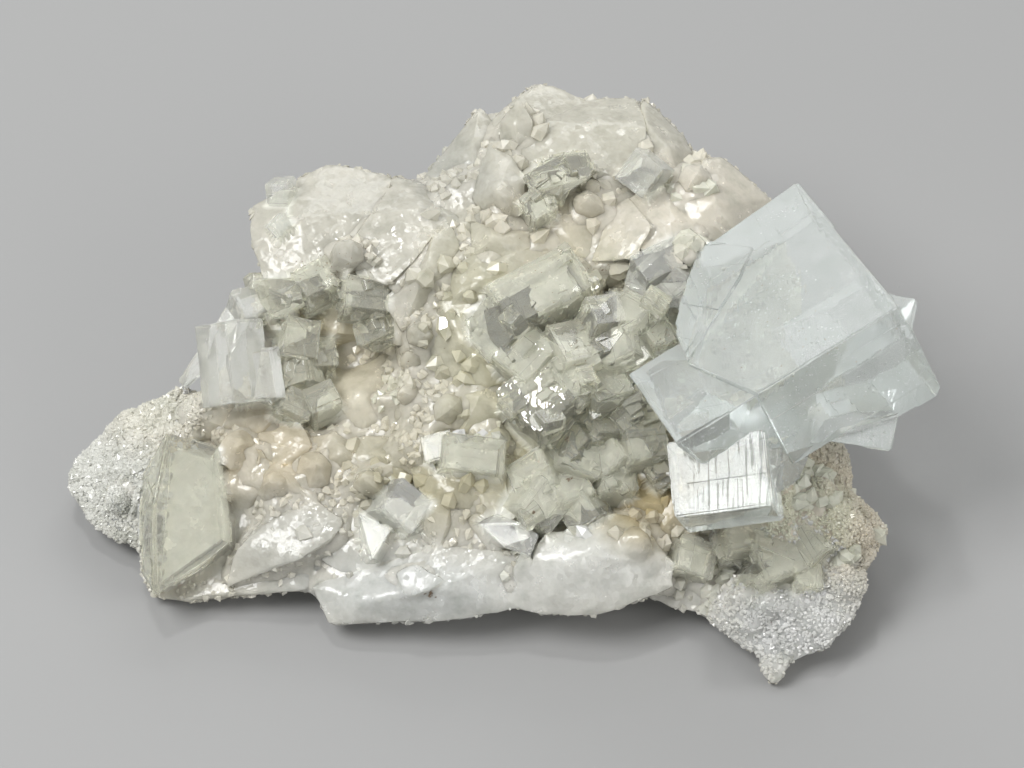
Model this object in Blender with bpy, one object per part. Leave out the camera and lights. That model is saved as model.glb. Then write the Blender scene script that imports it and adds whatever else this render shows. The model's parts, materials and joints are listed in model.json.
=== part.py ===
# Fluorite specimen: clear fluorite cubes that grew on a crust of milky quartz crystals.
#
# The specimen lies on a flat cut and shows a sloping face. Everything on that face is laid
# out in millimetres as (x, y, depth): x to the right, y up the slope, depth out of it. The
# layout is drawn along sight lines that meet at one point in front of the face, so a piece
# that stands out further is drawn in by the same share as it comes nearer to that point.
#
# Run with: blender --background --python part.py
import itertools
import math
import random

import bmesh
import bpy
from mathutils import Matrix, Vector
from mathutils.bvhtree import BVHTree

# Driving dimensions, in millimetres and degrees
MM = 0.001
FACE_SLOPE = math.radians(50.0)
FACE_CENTRE = Vector((2.5, -5.8, 19.0))
SIGHT_DISTANCE = 450.0
POCKET_GAP = 0.3
FAR = 400.0
FLAT_ANGLE = math.radians(0.5)

FACE_RIGHT = Vector((1.0, 0.0, 0.0))
FACE_UP = Vector((0.0, math.sin(FACE_SLOPE), math.cos(FACE_SLOPE)))
FACE_OUT = Vector((0.0, -math.cos(FACE_SLOPE), math.sin(FACE_SLOPE)))
FACE_AXES = Matrix((FACE_RIGHT, FACE_UP, FACE_OUT)).transposed()


# ---------------------------------------------------------------- layout and bodies


def spot(x, y, depth):
    """The place, in mm, where the sight line of (x, y) passes this depth."""
    drawn_in = (SIGHT_DISTANCE - depth) / SIGHT_DISTANCE
    return FACE_CENTRE + FACE_AXES @ Vector((x * drawn_in, y * drawn_in, depth))


def turned(roll, nod, swing):
    """A turn of a block on the face: swing about its own y, nod about x, roll in the face."""
    spin = Matrix.Rotation(math.radians(roll), 3, "Z")
    spin = spin @ Matrix.Rotation(math.radians(nod), 3, "X")
    return FACE_AXES @ spin @ Matrix.Rotation(math.radians(swing), 3, "Y")


def block(x, y, depth, size, roll=0.0, nod=0.0, swing=0.0):
    """The eight corners of a crystal block centred at a place on the face."""
    turn = turned(roll, nod, swing)
    half = [side / 2 for side in size]
    centre = spot(x, y, depth)
    signs = itertools.product((-1, 1), repeat=3)
    return [centre + turn @ Vector([s * h for s, h in zip(sign, half)]) for sign in signs]


def mound(front, thickness, taper=0.85):
    """Points of a lump: its front as given, and half as many drawn together at its back."""
    middle_x = sum(p[0] for p in front) / len(front)
    middle_y = sum(p[1] for p in front) / len(front)
    back = []
    for x, y, depth in front[::2]:
        x_back = middle_x + (x - middle_x) * taper
        y_back = middle_y + (y - middle_y) * taper
        back.append((x_back, y_back, depth - thickness))
    return [spot(*p) for p in front + back]


def plate(outline, anchor, turn, thickness):
    """A crystal with one flat face of this outline, and sides square to that face."""
    normal = turn @ Vector((0.0, 0.0, 1.0))
    eye = FACE_CENTRE + FACE_OUT * SIGHT_DISTANCE
    held = spot(*anchor)
    face = []
    for x, y in outline:
        ray = spot(x, y, 0.0) - eye
        face.append(eye + ray * ((held - eye).dot(normal) / ray.dot(normal)))
    return face + [point - normal * thickness for point in face]


def boulder(centre, radius, seed, flat=1.0, points=12):
    """An uneven ball: points of a spiral over a sphere, each a little in or out."""
    draw = random.Random(seed)
    golden = math.pi * (3 - math.sqrt(5))
    cloud = []
    for i in range(points):
        height = 1 - 2 * (i + 0.5) / points
        ring = math.sqrt(1 - height * height)
        turn = golden * i + seed
        reach = radius * draw.uniform(0.82, 1.08)
        local = Vector((math.cos(turn) * ring, math.sin(turn) * ring, height * flat))
        cloud.append(centre + FACE_AXES @ (local * reach))
    return cloud


def lump(x, y, depth, radius, seed):
    """A rounded lump of quartz, a little flattened against the face."""
    return boulder(spot(x, y, depth), radius, seed, flat=0.8)


def quartz_point(base, axis, radius, length, seed):
    """A six-sided quartz crystal: an uneven prism with a pyramid on its free end."""
    draw = random.Random(seed)
    axis = axis.normalized()
    side = axis.orthogonal().normalized()
    side.rotate(Matrix.Rotation(draw.uniform(0, math.tau), 3, axis))
    other = axis.cross(side)
    flat = draw.uniform(0.75, 1.0)
    pyramid = radius * draw.uniform(0.9, 1.3)
    shoulder = max(length - pyramid, length * 0.3)
    ring = []
    for i in range(6):
        angle = math.tau * i / 6
        spread = radius * draw.uniform(0.92, 1.08)
        ring.append(side * math.cos(angle) * spread + other * math.sin(angle) * spread * flat)
    lean = side * draw.uniform(-0.2, 0.2) * radius + other * draw.uniform(-0.2, 0.2) * radius
    foot = [base - axis * radius + arm for arm in ring]
    top = [base + axis * (shoulder + draw.uniform(-0.12, 0.12) * radius) + arm for arm in ring]
    return foot + top + [base + axis * length + lean]


def hull_mesh(points):
    """A bmesh of the convex hull of these points, faces outwards."""
    bm = bmesh.new()
    for point in points:
        bm.verts.new(point * MM)
    hull = bmesh.ops.convex_hull(bm, input=bm.verts)
    unused = set(hull["geom_interior"]) | set(hull["geom_unused"])
    loose = [item for item in unused if isinstance(item, bmesh.types.BMVert)]
    bmesh.ops.delete(bm, geom=loose, context="VERTS")
    bmesh.ops.dissolve_limit(bm, angle_limit=FLAT_ANGLE, verts=bm.verts, edges=bm.edges)
    bmesh.ops.recalc_face_normals(bm, faces=bm.faces)
    return bm


def grown(points, gap):
    """The same body scaled from its middle until every face has moved out by the gap."""
    bm = hull_mesh(points)
    middle = sum((v.co for v in bm.verts), Vector()) / len(bm.verts)
    reach = min(face.normal.dot(face.verts[0].co - middle) for face in bm.faces) / MM
    bm.free()
    middle = middle / MM
    scale = 1 + gap / reach
    return [middle + (point - middle) * scale for point in points]


# ---------------------------------------------------------------- joining and cutting


def hull_object(name, points):
    """A hidden working body."""
    bm = hull_mesh(points)
    mesh = bpy.data.meshes.new(name)
    bm.to_mesh(mesh)
    bm.free()
    obj = bpy.data.objects.new(name, mesh)
    bpy.context.scene.collection.objects.link(obj)
    obj.hide_render = True
    obj.display_type = "WIRE"
    return obj


def drop(objects):
    """Remove working bodies and their meshes."""
    for obj in objects:
        mesh = obj.data
        bpy.data.objects.remove(obj)
        bpy.data.meshes.remove(mesh)


def combine(obj, bodies, operation):
    """Apply one Boolean of obj with a group of hulls, given by their points."""
    group = bpy.data.collections.new("bodies")
    bpy.context.scene.collection.children.link(group)
    workers = [hull_object(f"{obj.name}_worker_{i}", points) for i, points in enumerate(bodies)]
    for worker in workers:
        group.objects.link(worker)
    step = obj.modifiers.new("combine", "BOOLEAN")
    step.operand_type = "COLLECTION"
    step.collection = group
    step.operation = operation
    step.solver = "EXACT"
    depsgraph = bpy.context.evaluated_depsgraph_get()
    result = bpy.data.meshes.new_from_object(obj.evaluated_get(depsgraph))
    obj.modifiers.clear()
    old = obj.data
    obj.data = result
    bpy.data.meshes.remove(old)
    drop(workers)
    bpy.data.collections.remove(group)


def keep_largest(obj):
    """Delete chips that a cut left loose, so that the piece is one body."""
    bm = bmesh.new()
    bm.from_mesh(obj.data)
    left = set(bm.verts)
    islands = []
    while left:
        start = left.pop()
        island = [start]
        queue = [start]
        while queue:
            for edge in queue.pop().link_edges:
                for vert in edge.verts:
                    if vert in left:
                        left.remove(vert)
                        island.append(vert)
                        queue.append(vert)
        islands.append(island)
    islands.sort(key=len, reverse=True)
    for island in islands[1:]:
        bmesh.ops.delete(bm, geom=island, context="VERTS")
    bm.to_mesh(obj.data)
    bm.free()


def material(name, colour, roughness, transmission=0.0):
    """A plain shader with the mineral's colour."""
    mat = bpy.data.materials.new(name)
    mat.use_nodes = True
    shader = mat.node_tree.nodes["Principled BSDF"]
    shader.inputs["Base Color"].default_value = (*colour, 1.0)
    shader.inputs["Roughness"].default_value = roughness
    shader.inputs["Metallic"].default_value = 0.0
    shader.inputs["Transmission Weight"].default_value = transmission
    mat.diffuse_color = (*colour, 1.0)
    return mat


def grow_piece(name, bodies, pockets, mat):
    """One solid from overlapping bodies, less the room that earlier crystals take."""
    obj = hull_object(name, bodies[0])
    obj.hide_render = False
    obj.display_type = "SOLID"
    if len(bodies) > 1:
        combine(obj, bodies[1:], "UNION")
    if pockets:
        combine(obj, pockets, "DIFFERENCE")
    keep_largest(obj)
    obj.data.materials.clear()
    obj.data.materials.append(mat)
    obj.data.name = name
    return obj


# ---------------------------------------------------------------- fluorite


def main_cluster():
    """The large pale blue crystals that overhang the right side."""
    upper = plate(
        [(35.5, 25.1), (48.4, 9.7), (30.6, -1.2), (22.0, 2.6), (20.7, 7.0), (23.3, 16.4)],
        (35.5, 25.1, 2.0), turned(33.5, -49.0, 2.7), 13.0)
    ledge = plate(
        [(44.3, 7.1), (46.4, 8.1), (49.3, 7.9), (49.9, 7.2), (53.5, -0.3), (53.0, -1.5),
         (48.4, -4.1), (33.6, -7.3), (24.0, -10.0), (20.7, -7.5)],
        (30.6, -1.2, 23.7), turned(33.5, 41.0, 0.0), 15.0)
    lower = block(26.7, -12.2, 16.4, (11.6, 9.0, 9.8), 5.5, -15.0, -10.7)
    lower_right = mound(
        [(31.2, -7.4, 19.4), (37.4, -7.2, 14.4), (36.9, -9.6, 13.4), (36.0, -11.6, 13.4),
         (34.0, -12.7, 14.4), (32.0, -14.6, 17.2), (30.8, -12.0, 19.8)], 9.0, 0.8)
    corner = mound(
        [(48.4, -3.0, 11.6), (47.3, -8.3, 10.6), (36.4, -6.7, 15.6), (38.0, -1.0, 14.0)], 9.0, 0.8)
    window = mound(
        [(17.0, 1.1, 10.5), (19.4, 2.4, 12.5), (31.0, 0.5, 22.2), (29.8, -1.9, 22.8),
         (20.6, -7.5, 20.6)], 12.0, 0.85)
    left_prism = plate(
        [(24.9, 17.8), (30.1, 17.1), (28.5, 13.2), (24.9, 8.6), (21.9, 2.9), (20.6, 6.0),
         (20.5, 7.6), (22.6, 13.5), (23.1, 16.5)],
        (24.9, 17.8, 3.7), turned(33.5, -49.0, 2.7), 9.0)
    spur = mound(
        [(45.0, 11.0, 15.5), (47.3, 11.2, 15.5), (50.5, 10.6, 14.5), (49.7, 6.5, 16.5),
         (45.0, 6.0, 18.0)], 8.0, 0.8)
    return [upper, ledge, lower, lower_right, corner, window, left_prism, spur]


def centre_cluster():
    """The greenish crystals grown together over the middle of the face."""
    return [
        block(3.6, 10.6, 3.6, (11.5, 6.6, 8.5), 33.0, -22.0, 14.0),
        block(-0.5, 7.0, 3.4, (7.5, 6.5, 7.0), 38.0, -26.0, -20.0),
        block(1.9, 2.9, 5.0, (6.2, 5.6, 6.2), 52.0, -18.0, 16.0),
        block(4.4, -2.6, 5.4, (8.8, 7.6, 8.6), 47.0, -24.0, 15.0),
        block(7.3, -1.0, 6.2, (6.6, 6.0, 7.0), 44.0, -30.0, -12.0),
        block(8.0, 3.4, 5.4, (6.8, 6.2, 7.0), 28.0, -34.0, 26.0),
        mound([(8.6, 4.2, 7.6), (9.6, 9.0, 6.4), (12.0, 11.6, 4.6), (16.4, 11.4, 3.6),
               (19.3, 9.0, 3.0), (20.2, 6.0, 3.4), (18.2, 2.4, 6.0), (14.0, 1.4, 8.0),
               (10.5, 2.0, 8.4), (14.0, 6.4, 8.8)], 9.0, 0.85),
        block(11.3, 8.0, 6.4, (4.6, 4.2, 4.6), 24.0, -30.0, 30.0),
        block(15.2, 8.4, 5.6, (4.2, 4.6, 4.4), 60.0, -26.0, 22.0),
        block(14.2, 4.0, 7.0, (4.8, 4.4, 4.6), 12.0, -34.0, -30.0),
        block(18.0, 5.6, 4.4, (3.8, 3.6, 4.2), 40.0, -24.0, 28.0),
        block(17.6, 1.0, 5.2, (3.6, 3.8, 4.0), 22.0, -28.0, -24.0),
        block(11.6, -1.4, 6.8, (5.0, 4.6, 5.2), 30.0, -30.0, 26.0),
        block(14.4, -3.0, 5.6, (4.6, 4.6, 5.0), 50.0, -24.0, -18.0),
        block(17.0, -3.6, 5.0, (4.2, 4.6, 5.0), 28.0, -22.0, 18.0),
        block(11.6, -5.8, 5.4, (4.6, 4.2, 4.8), 18.0, -34.0, 30.0),
        block(8.2, -7.4, 4.6, (5.2, 4.8, 5.6), 38.0, -30.0, -22.0),
        block(8.0, -9.6, 5.6, (5.2, 4.4, 5.4), -16.0, -26.0, 18.0),
        block(16.2, -8.0, 6.2, (5.0, 4.8, 5.4), 14.0, -22.0, 20.0),
        block(12.8, -9.2, 5.6, (4.2, 4.2, 4.6), 34.0, -30.0, -20.0),
        block(18.4, -10.8, 4.6, (4.0, 3.8, 4.6), 40.0, -26.0, 18.0),
        block(12.6, -12.6, 5.4, (4.4, 3.8, 4.6), 12.0, -28.0, 24.0),
        block(3.6, -12.0, 5.4, (5.4, 5.0, 5.6), 24.0, -24.0, -22.0),
        block(3.0, -15.2, 7.2, (5.6, 5.0, 5.4), -38.0, -20.0, 18.0),
        block(7.2, -14.0, 6.4, (4.4, 4.0, 4.6), 30.0, -30.0, 24.0),
        block(9.2, -16.2, 7.0, (4.4, 4.0, 4.4), 36.0, -18.0, -20.0),
    ]


def left_cube():
    """The clear cube at the left, with the thin crystals behind and beside it."""
    return [
        block(-34.9, 2.5, 1.8, (6.0, 10.2, 6.0), 6.5, -3.0, 45.0),
        block(-31.6, 1.0, 0.6, (4.4, 6.4, 4.4), 8.0, -8.0, 30.0),
        mound([(-34.8, 11.0, -3.4), (-41.7, 0.4, -2.6), (-40.9, -0.6, -2.2), (-36.0, 4.0, 0.0),
               (-33.4, 9.0, -2.0)], 2.4, 0.95),
        block(-32.6, 9.4, -2.0, (4.4, 4.0, 5.0), 28.0, -20.0, 24.0),
    ]


def perched_upper():
    """The small clear cube on the shoulder of the upper left quartz."""
    return [block(-28.8, 24.0, -4.6, (2.9, 3.0, 2.9), 8.0, 24.0, -26.0)]


def perched_lower():
    """The small clear cube on the front of the upper left quartz."""
    return [block(-28.7, 19.7, -1.6, (2.4, 2.4, 2.8), 40.0, -12.0, -14.0)]


def crown_cube():
    """The bright cube at the foot of the crown."""
    return [block(16.6, 26.3, -0.4, (4.5, 4.6, 4.8), -36.0, 14.0, -16.0)]


def crown_cluster():
    """The yellowish crystals in the notch under the crown."""
    return [
        mound([(1.5, 25.9, 1.0), (4.1, 27.8, 0.6), (7.5, 29.0, 0.0), (9.9, 27.2, 0.2),
               (9.9, 25.9, 0.8), (6.6, 23.8, 2.4), (2.7, 24.0, 2.6), (6.0, 26.4, 3.2)], 6.0),
        block(3.2, 21.7, 1.4, (3.4, 3.2, 3.6), 36.0, -20.0, 18.0),
        block(8.0, 26.8, 0.6, (3.0, 2.8, 3.2), 20.0, -26.0, 24.0),
        block(5.4, 24.4, 1.0, (2.6, 2.8, 3.0), -24.0, -18.0, -24.0),
    ]


def glass_cluster():
    """The colourless crystals between the middle and the blue cluster."""
    return [
        mound([(14.0, 12.4, 3.4), (14.8, 15.0, 2.4), (20.5, 18.0, 1.0), (22.8, 15.8, 1.8),
               (22.6, 12.6, 3.6), (21.6, 9.6, 5.4), (18.5, 9.4, 5.6), (17.0, 11.6, 5.0)], 8.0),
        block(18.4, 14.2, 2.6, (6.4, 4.2, 5.4), 33.0, -26.0, 20.0),
        block(21.4, 12.4, 3.2, (4.0, 4.6, 5.0), 52.0, -20.0, -22.0),
    ]


def hollow_cubes():
    """The crystals along the upper edge of the hollow."""
    return [
        block(-18.6, 10.4, 0.6, (5.4, 4.4, 5.0), 0.0, -24.0, 16.0),
        block(-16.6, 6.8, -0.6, (4.2, 3.4, 4.4), 16.0, -22.0, -26.0),
        mound([(-33.2, 13.2, -1.0), (-25.6, 13.4, 1.6), (-25.2, 10.2, 2.0), (-28.0, 8.5, 1.6),
               (-30.2, 8.2, 1.0), (-31.8, 9.8, 0.4), (-28.6, 11.2, 3.2)], 7.0),
        block(-24.6, 12.0, 0.2, (4.4, 4.2, 5.0), 36.0, -26.0, 16.0),
    ]


def hollow_row():
    """The stack of small crystals down the left side of the hollow."""
    return [
        block(-27.0, 5.4, -1.0, (4.4, 4.8, 5.0), -6.0, -14.0, 22.0),
        block(-26.6, 1.4, -0.8, (4.0, 4.4, 4.8), 12.0, -20.0, -20.0),
        block(-23.8, -2.6, -0.4, (4.0, 3.6, 4.6), 30.0, -24.0, 18.0),
        block(-27.4, -2.8, 0.0, (3.6, 3.4, 4.4), -18.0, -22.0, 20.0),
        block(-24.2, 3.4, -2.6, (3.6, 3.8, 4.4), 8.0, -16.0, 20.0),
    ]


def green_crystal():
    """The pale yellow-green slab set in the left wing."""
    return [
        mound([(-42.6, -6.2, 3.0), (-44.6, -15.0, 5.4), (-44.3, -26.3, 5.8), (-39.0, -23.0, 4.6),
               (-35.2, -19.8, 3.6), (-35.4, -15.5, 3.2), (-36.7, -8.0, 2.0)], 7.0, 0.85),
        mound([(-42.9, -6.0, 2.8), (-46.0, -11.4, 1.4), (-46.2, -16.0, 1.4), (-46.1, -23.6, 1.8),
               (-44.4, -26.5, 5.6), (-44.8, -15.0, 5.2)], 5.0, 0.9),
    ]


def yellow_crystal():
    """The pale yellow block under the hollow."""
    return [
        block(-5.2, -9.3, 5.6, (7.6, 4.4, 5.4), -4.0, -16.0, 12.0),
        block(-8.6, -8.3, 4.2, (3.8, 3.2, 4.6), 12.0, -20.0, -16.0),
    ]


def front_cube():
    """The clear cube at the front left of the middle."""
    return [
        block(-14.2, -15.4, 5.4, (5.0, 4.8, 5.6), -34.0, -20.0, 16.0),
        block(-12.6, -18.0, 5.0, (2.6, 2.4, 3.0), 18.0, -16.0, -20.0),
    ]


def striped_crystal():
    """The bright striated plate beside the front cube."""
    return [
        mound([(-19.1, -16.2, 5.6), (-15.2, -18.4, 7.2), (-17.4, -22.0, 7.2), (-18.9, -20.2, 6.0)],
              5.0, 0.85),
    ]


def bright_crystal():
    """The bright plate over the front rim."""
    return [
        mound([(-4.3, -17.5, 7.6), (-1.8, -16.2, 8.0), (0.5, -17.2, 9.4), (3.3, -18.8, 10.4),
               (2.2, -21.7, 10.6), (-1.0, -20.4, 9.8)], 6.0, 0.85),
    ]


def low_cube():
    """The dull cube low on the right."""
    return [block(22.4, -22.0, 4.8, (4.8, 4.4, 5.0), -12.0, -18.0, 14.0)]


def lobe_cluster():
    """The crystals sunk in the right lobe."""
    return [
        block(33.0, -22.6, 7.2, (5.6, 5.2, 6.0), 24.0, -20.0, 18.0),
        block(37.4, -20.6, 7.2, (4.4, 4.2, 5.2), 40.0, -22.0, -20.0),
        block(36.2, -24.4, 7.4, (3.4, 3.6, 4.6), 10.0, -18.0, 22.0),
        block(30.6, -24.4, 6.4, (3.8, 3.4, 4.6), -20.0, -24.0, 16.0),
        block(28.2, -19.4, 6.6, (4.8, 4.6, 5.6), 18.0, -26.0, 20.0),
    ]


# ---------------------------------------------------------------- quartz


def core():
    """The body of the rock, hidden under its crystals."""
    foot = [(-37, -5), (-32, 16), (-12, 29), (18, 30), (33, 20), (36, -8), (27, -21), (8, -17),
            (-22, -16)]
    floor = [FACE_CENTRE + Vector((x, y, -FACE_CENTRE.z - 2.0)) for x, y in foot]
    face = [(-28, 17, -9), (-8, 25, -13), (8, 29, -13), (20, 25, -10), (32, 16, -6),
            (37, 0, -4), (-34, 0, -14), (-31, -16, -8), (-18, -23, -3), (18, -21, -1),
            (31, -16, 0)]
    return floor + [spot(*p) for p in face]


def wing_and_rim():
    """The left wing, the ridges along the front rim and the boulder in it."""
    return [
        mound([(-55.9, -11.5, -8.0), (-54.9, -9.9, -8.0), (-49.6, -5.0, -6.5),
               (-48.3, -3.6, -6.0), (-41.3, -0.3, -5.0), (-34.0, -3.0, -3.0),
               (-33.0, -15.0, -1.0), (-40.0, -22.0, -1.0), (-46.7, -21.3, -2.5),
               (-50.5, -18.7, -4.0), (-54.1, -13.6, -7.0), (-47.0, -11.0, -2.5)], 7.0, 0.7),
        mound([(-55.8, -12.4, -7.6), (-52.2, -15.6, -5.6), (-52.2, -17.6, -5.0),
               (-49.2, -18.9, -3.6), (-48.6, -20.2, -3.0), (-46.0, -12.0, -2.0)], 5.0, 0.8),
        mound([(-46.5, -21.0, -2.0), (-46.4, -24.1, -1.0), (-45.2, -26.4, 0.0),
               (-44.0, -27.0, 0.4), (-41.7, -27.0, 1.0), (-37.4, -26.3, 2.0),
               (-33.5, -25.8, 2.5), (-25.4, -25.7, 3.0), (-22.0, -20.0, 3.0),
               (-24.0, -12.0, 0.0), (-36.0, -12.0, -1.0)], 8.0),
        mound([(-35.8, -25.4, 3.0), (-30.0, -22.8, 5.4), (-26.0, -21.6, 6.4),
               (-21.8, -19.2, 6.4), (-20.6, -17.0, 5.0), (-25.0, -14.4, 4.0),
               (-31.0, -17.0, 4.6), (-34.5, -20.5, 4.2)], 8.0),
        mound([(-27.0, -25.6, 2.0), (-24.0, -26.6, 2.6), (-18.0, -24.0, 4.0),
               (-20.0, -18.0, 4.0), (-28.0, -20.0, 3.0)], 8.0),
        mound([(-25.2, -25.4, 4.0), (-22.9, -30.0, 4.6), (-20.4, -30.0, 5.4),
               (-14.4, -29.6, 6.0), (-9.0, -29.7, 6.6), (-3.0, -28.7, 7.0),
               (1.4, -27.7, 7.0), (1.6, -21.4, 7.4), (-9.0, -20.2, 6.4),
               (-14.0, -22.5, 6.0), (-20.0, -24.4, 5.0), (-9.0, -25.4, 9.2),
               (-18.0, -27.0, 7.6)], 9.0, 0.9),
        mound([(-14.7, -23.4, 8.0), (-12.0, -22.5, 8.2), (-8.0, -24.6, 9.4),
               (-10.6, -26.0, 9.8), (-13.2, -26.9, 9.2)], 5.0),
        mound([(0.0, -27.6, 7.0), (2.3, -28.6, 7.4), (5.6, -28.9, 7.8), (11.0, -28.9, 8.4),
               (14.0, -27.8, 8.4), (17.3, -26.6, 7.6), (20.2, -25.3, 6.6), (20.0, -22.4, 7.4),
               (17.6, -18.9, 7.8), (15.0, -16.6, 7.6), (12.2, -15.9, 7.8), (5.4, -18.6, 8.6),
               (0.2, -22.0, 9.2), (9.6, -21.6, 11.8)], 9.0),
        mound([(16.6, -26.6, 3.0), (20.0, -27.8, 3.4), (24.6, -28.8, 4.0), (27.0, -25.0, 3.6),
               (28.6, -21.0, 3.0), (22.0, -19.0, 2.6), (17.0, -20.0, 3.0)], 7.0),
    ]


def right_lobe():
    """The lobe at the lower right: a beige crust above, a sugary plate below."""
    return [
        mound([(24.1, -29.2, 5.6), (26.3, -31.0, 6.4), (28.5, -31.6, 6.8), (30.4, -33.9, 7.0),
               (34.6, -35.2, 7.8), (37.6, -33.0, 7.6), (41.9, -30.5, 7.0), (42.7, -28.3, 6.8),
               (44.3, -25.4, 6.4), (44.1, -23.1, 6.0), (38.0, -21.6, 7.4), (29.0, -22.6, 6.4),
               (25.7, -26.0, 5.8), (34.5, -28.0, 9.6)], 6.0),
        mound([(30.8, -33.6, 6.8), (31.1, -36.4, 7.6), (32.2, -37.6, 8.0), (33.3, -37.6, 8.0),
               (34.6, -35.4, 7.8), (35.6, -32.0, 8.4)], 4.0),
        mound([(44.1, -23.1, 5.4), (45.4, -20.9, 4.6), (46.7, -18.3, 3.6), (46.0, -17.0, 3.4),
               (44.6, -15.4, 3.4), (42.1, -13.5, 3.4), (36.0, -10.0, 5.0), (31.0, -14.0, 6.4),
               (28.0, -18.0, 6.0), (29.0, -23.0, 6.4), (36.0, -24.0, 8.8), (37.0, -16.6, 9.4)],
              9.0),
        mound([(42.1, -13.5, 3.4), (40.8, -11.0, 3.6), (41.8, -8.8, 3.0), (40.4, -6.0, 2.0),
               (34.0, -5.0, 4.0), (33.0, -12.0, 6.0)], 8.0),
        mound([(24.8, -19.6, 6.2), (26.4, -17.2, 6.6), (30.0, -16.8, 7.0), (31.6, -20.0, 7.0),
               (28.2, -23.2, 6.4), (25.6, -21.8, 6.0)], 7.0),
        lump(34.0, -17.4, 7.4, 4.0, 3),
        lump(40.8, -17.4, 6.4, 4.2, 4),
        lump(41.0, -24.6, 6.2, 3.6, 5),
        lump(29.6, -28.2, 6.4, 4.2, 6),
        lump(37.6, -30.0, 6.6, 4.2, 7),
    ]


def upper_left_quartz():
    """The big smooth milky crystals at the upper left, one behind the other."""
    return [
        mound([(-32.8, 18.9, -3.0), (-32.5, 22.2, -5.0), (-30.6, 22.9, -5.5),
               (-26.9, 25.0, -6.8), (-23.2, 27.4, -8.4), (-21.7, 27.4, -8.4),
               (-14.8, 25.9, -7.0), (-17.4, 21.3, -2.0), (-19.0, 16.0, 0.4),
               (-25.8, 12.6, 1.4), (-31.0, 13.2, -0.6), (-32.0, 15.9, -1.4),
               (-26.5, 20.6, -1.0)], 12.0, 0.8),
        mound([(-14.6, 26.1, -7.0), (-11.4, 25.2, -6.6), (-5.1, 22.2, -4.0),
               (-4.3, 20.3, -2.0), (-9.6, 18.9, 1.6), (-17.4, 21.2, -0.6),
               (-11.0, 22.2, -0.4)], 10.0),
        mound([(-17.6, 21.4, -0.8), (-9.5, 19.1, 1.8), (-12.0, 15.6, 3.2), (-15.5, 12.2, 3.6),
               (-19.6, 14.0, 1.6), (-20.0, 18.0, 0.2)], 9.0),
        mound([(-9.6, 19.0, 1.8), (-7.4, 19.7, 0.6), (-6.4, 17.3, 1.8), (-8.3, 13.5, 3.2),
               (-13.8, 6.3, 2.6), (-15.6, 10.2, 2.2), (-11.2, 13.4, 5.2)], 9.0),
        quartz_point(spot(-31.4, 12.2, -5.0), FACE_AXES @ Vector((-1.0, 0.3, 0.5)), 1.3, 3.4, 11),
    ]


def crown_quartz():
    """The crystals that form the crown, and the wedge beside it."""
    return [
        mound([(-11.5, 25.3, -8.0), (-4.0, 34.8, -10.5), (-2.0, 32.3, -9.0), (-4.0, 24.0, -4.0),
               (-5.0, 29.6, -6.0)], 9.0, 0.7),
        mound([(-2.3, 33.3, -9.4), (0.6, 36.0, -10.5), (3.1, 37.5, -12.0), (5.1, 37.2, -12.2),
               (9.9, 35.2, -11.4), (3.7, 32.9, -6.0), (0.1, 29.6, -3.6), (-3.0, 29.0, -5.4)],
              12.0, 0.8),
        mound([(3.7, 32.9, -5.8), (16.9, 32.2, -5.8), (16.4, 26.8, -2.6), (13.0, 25.4, -2.0),
               (6.1, 27.0, -1.8), (0.4, 25.8, -1.6), (0.1, 30.0, -3.6), (9.9, 35.2, -11.0),
               (10.6, 35.8, -11.8), (15.6, 35.8, -12.0)], 12.0, 0.8),
        mound([(16.0, 35.2, -11.0), (16.4, 35.9, -12.0), (21.6, 30.9, -10.2),
               (22.6, 29.2, -9.6), (22.6, 27.0, -8.0), (20.9, 26.0, -4.6), (16.9, 32.2, -6.4),
               (16.6, 27.0, -3.6), (19.6, 29.4, -5.0)], 11.0, 0.8),
        quartz_point(spot(0.6, 29.6, -5.6), FACE_AXES @ Vector((0.0, 0.85, 0.15)), 2.6, 6.4, 13),
        mound([(-2.8, 29.7, -3.4), (0.0, 28.6, -1.4), (1.4, 25.9, -0.2), (1.5, 22.6, 1.0),
               (0.8, 20.8, 1.2), (-0.6, 20.3, 1.4), (-3.8, 21.3, 0.2), (-5.2, 23.0, -1.2),
               (-4.4, 26.4, -1.6), (-1.8, 24.0, 3.2)], 9.0),
    ]


def shoulder_quartz():
    """The cream crystals between the crown and the blue cluster, and the rock under it."""
    return [
        mound([(20.7, 23.6, -0.6), (24.3, 28.3, -4.0), (26.2, 28.5, -5.2), (27.6, 27.4, -5.6),
               (27.5, 25.8, -4.8), (29.8, 24.4, -4.8), (32.4, 23.0, -5.4), (30.0, 17.0, -1.4),
               (24.5, 17.6, 0.6), (22.0, 19.0, 0.8), (25.4, 22.6, 1.0)], 12.0),
        mound([(9.8, 15.2, 1.8), (13.0, 22.6, -0.2), (14.6, 23.4, -0.6), (17.5, 19.6, 3.2),
               (15.4, 16.0, 3.6), (12.6, 15.4, 3.2)], 9.0),
        mound([(14.4, 23.4, -0.8), (19.6, 24.6, -1.6), (26.4, 20.0, -0.6), (24.6, 17.6, 1.0),
               (20.0, 18.2, 3.2), (16.2, 16.4, 3.4)], 10.0),
        mound([(20.9, -5.0, 12.0), (36.0, -5.0, 9.0), (36.4, -11.0, 7.6), (31.0, -14.6, 10.0),
               (24.0, -17.0, 10.4), (20.9, -14.0, 11.0)], 11.0, 0.95),
        mound([(18.0, 27.0, -8.0), (24.0, 26.0, -7.0), (25.0, 19.0, -3.0), (16.0, 20.0, -3.0)],
              9.0),
        mound([(20.0, 22.0, -3.0), (34.0, 20.0, -7.0), (38.0, 8.0, -6.0), (38.0, -5.0, -3.0),
               (30.0, -12.0, 2.0), (18.0, -12.0, 2.0), (12.0, -2.0, 0.0), (12.0, 14.0, -1.0)],
              14.0, 0.9),
    ]


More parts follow.
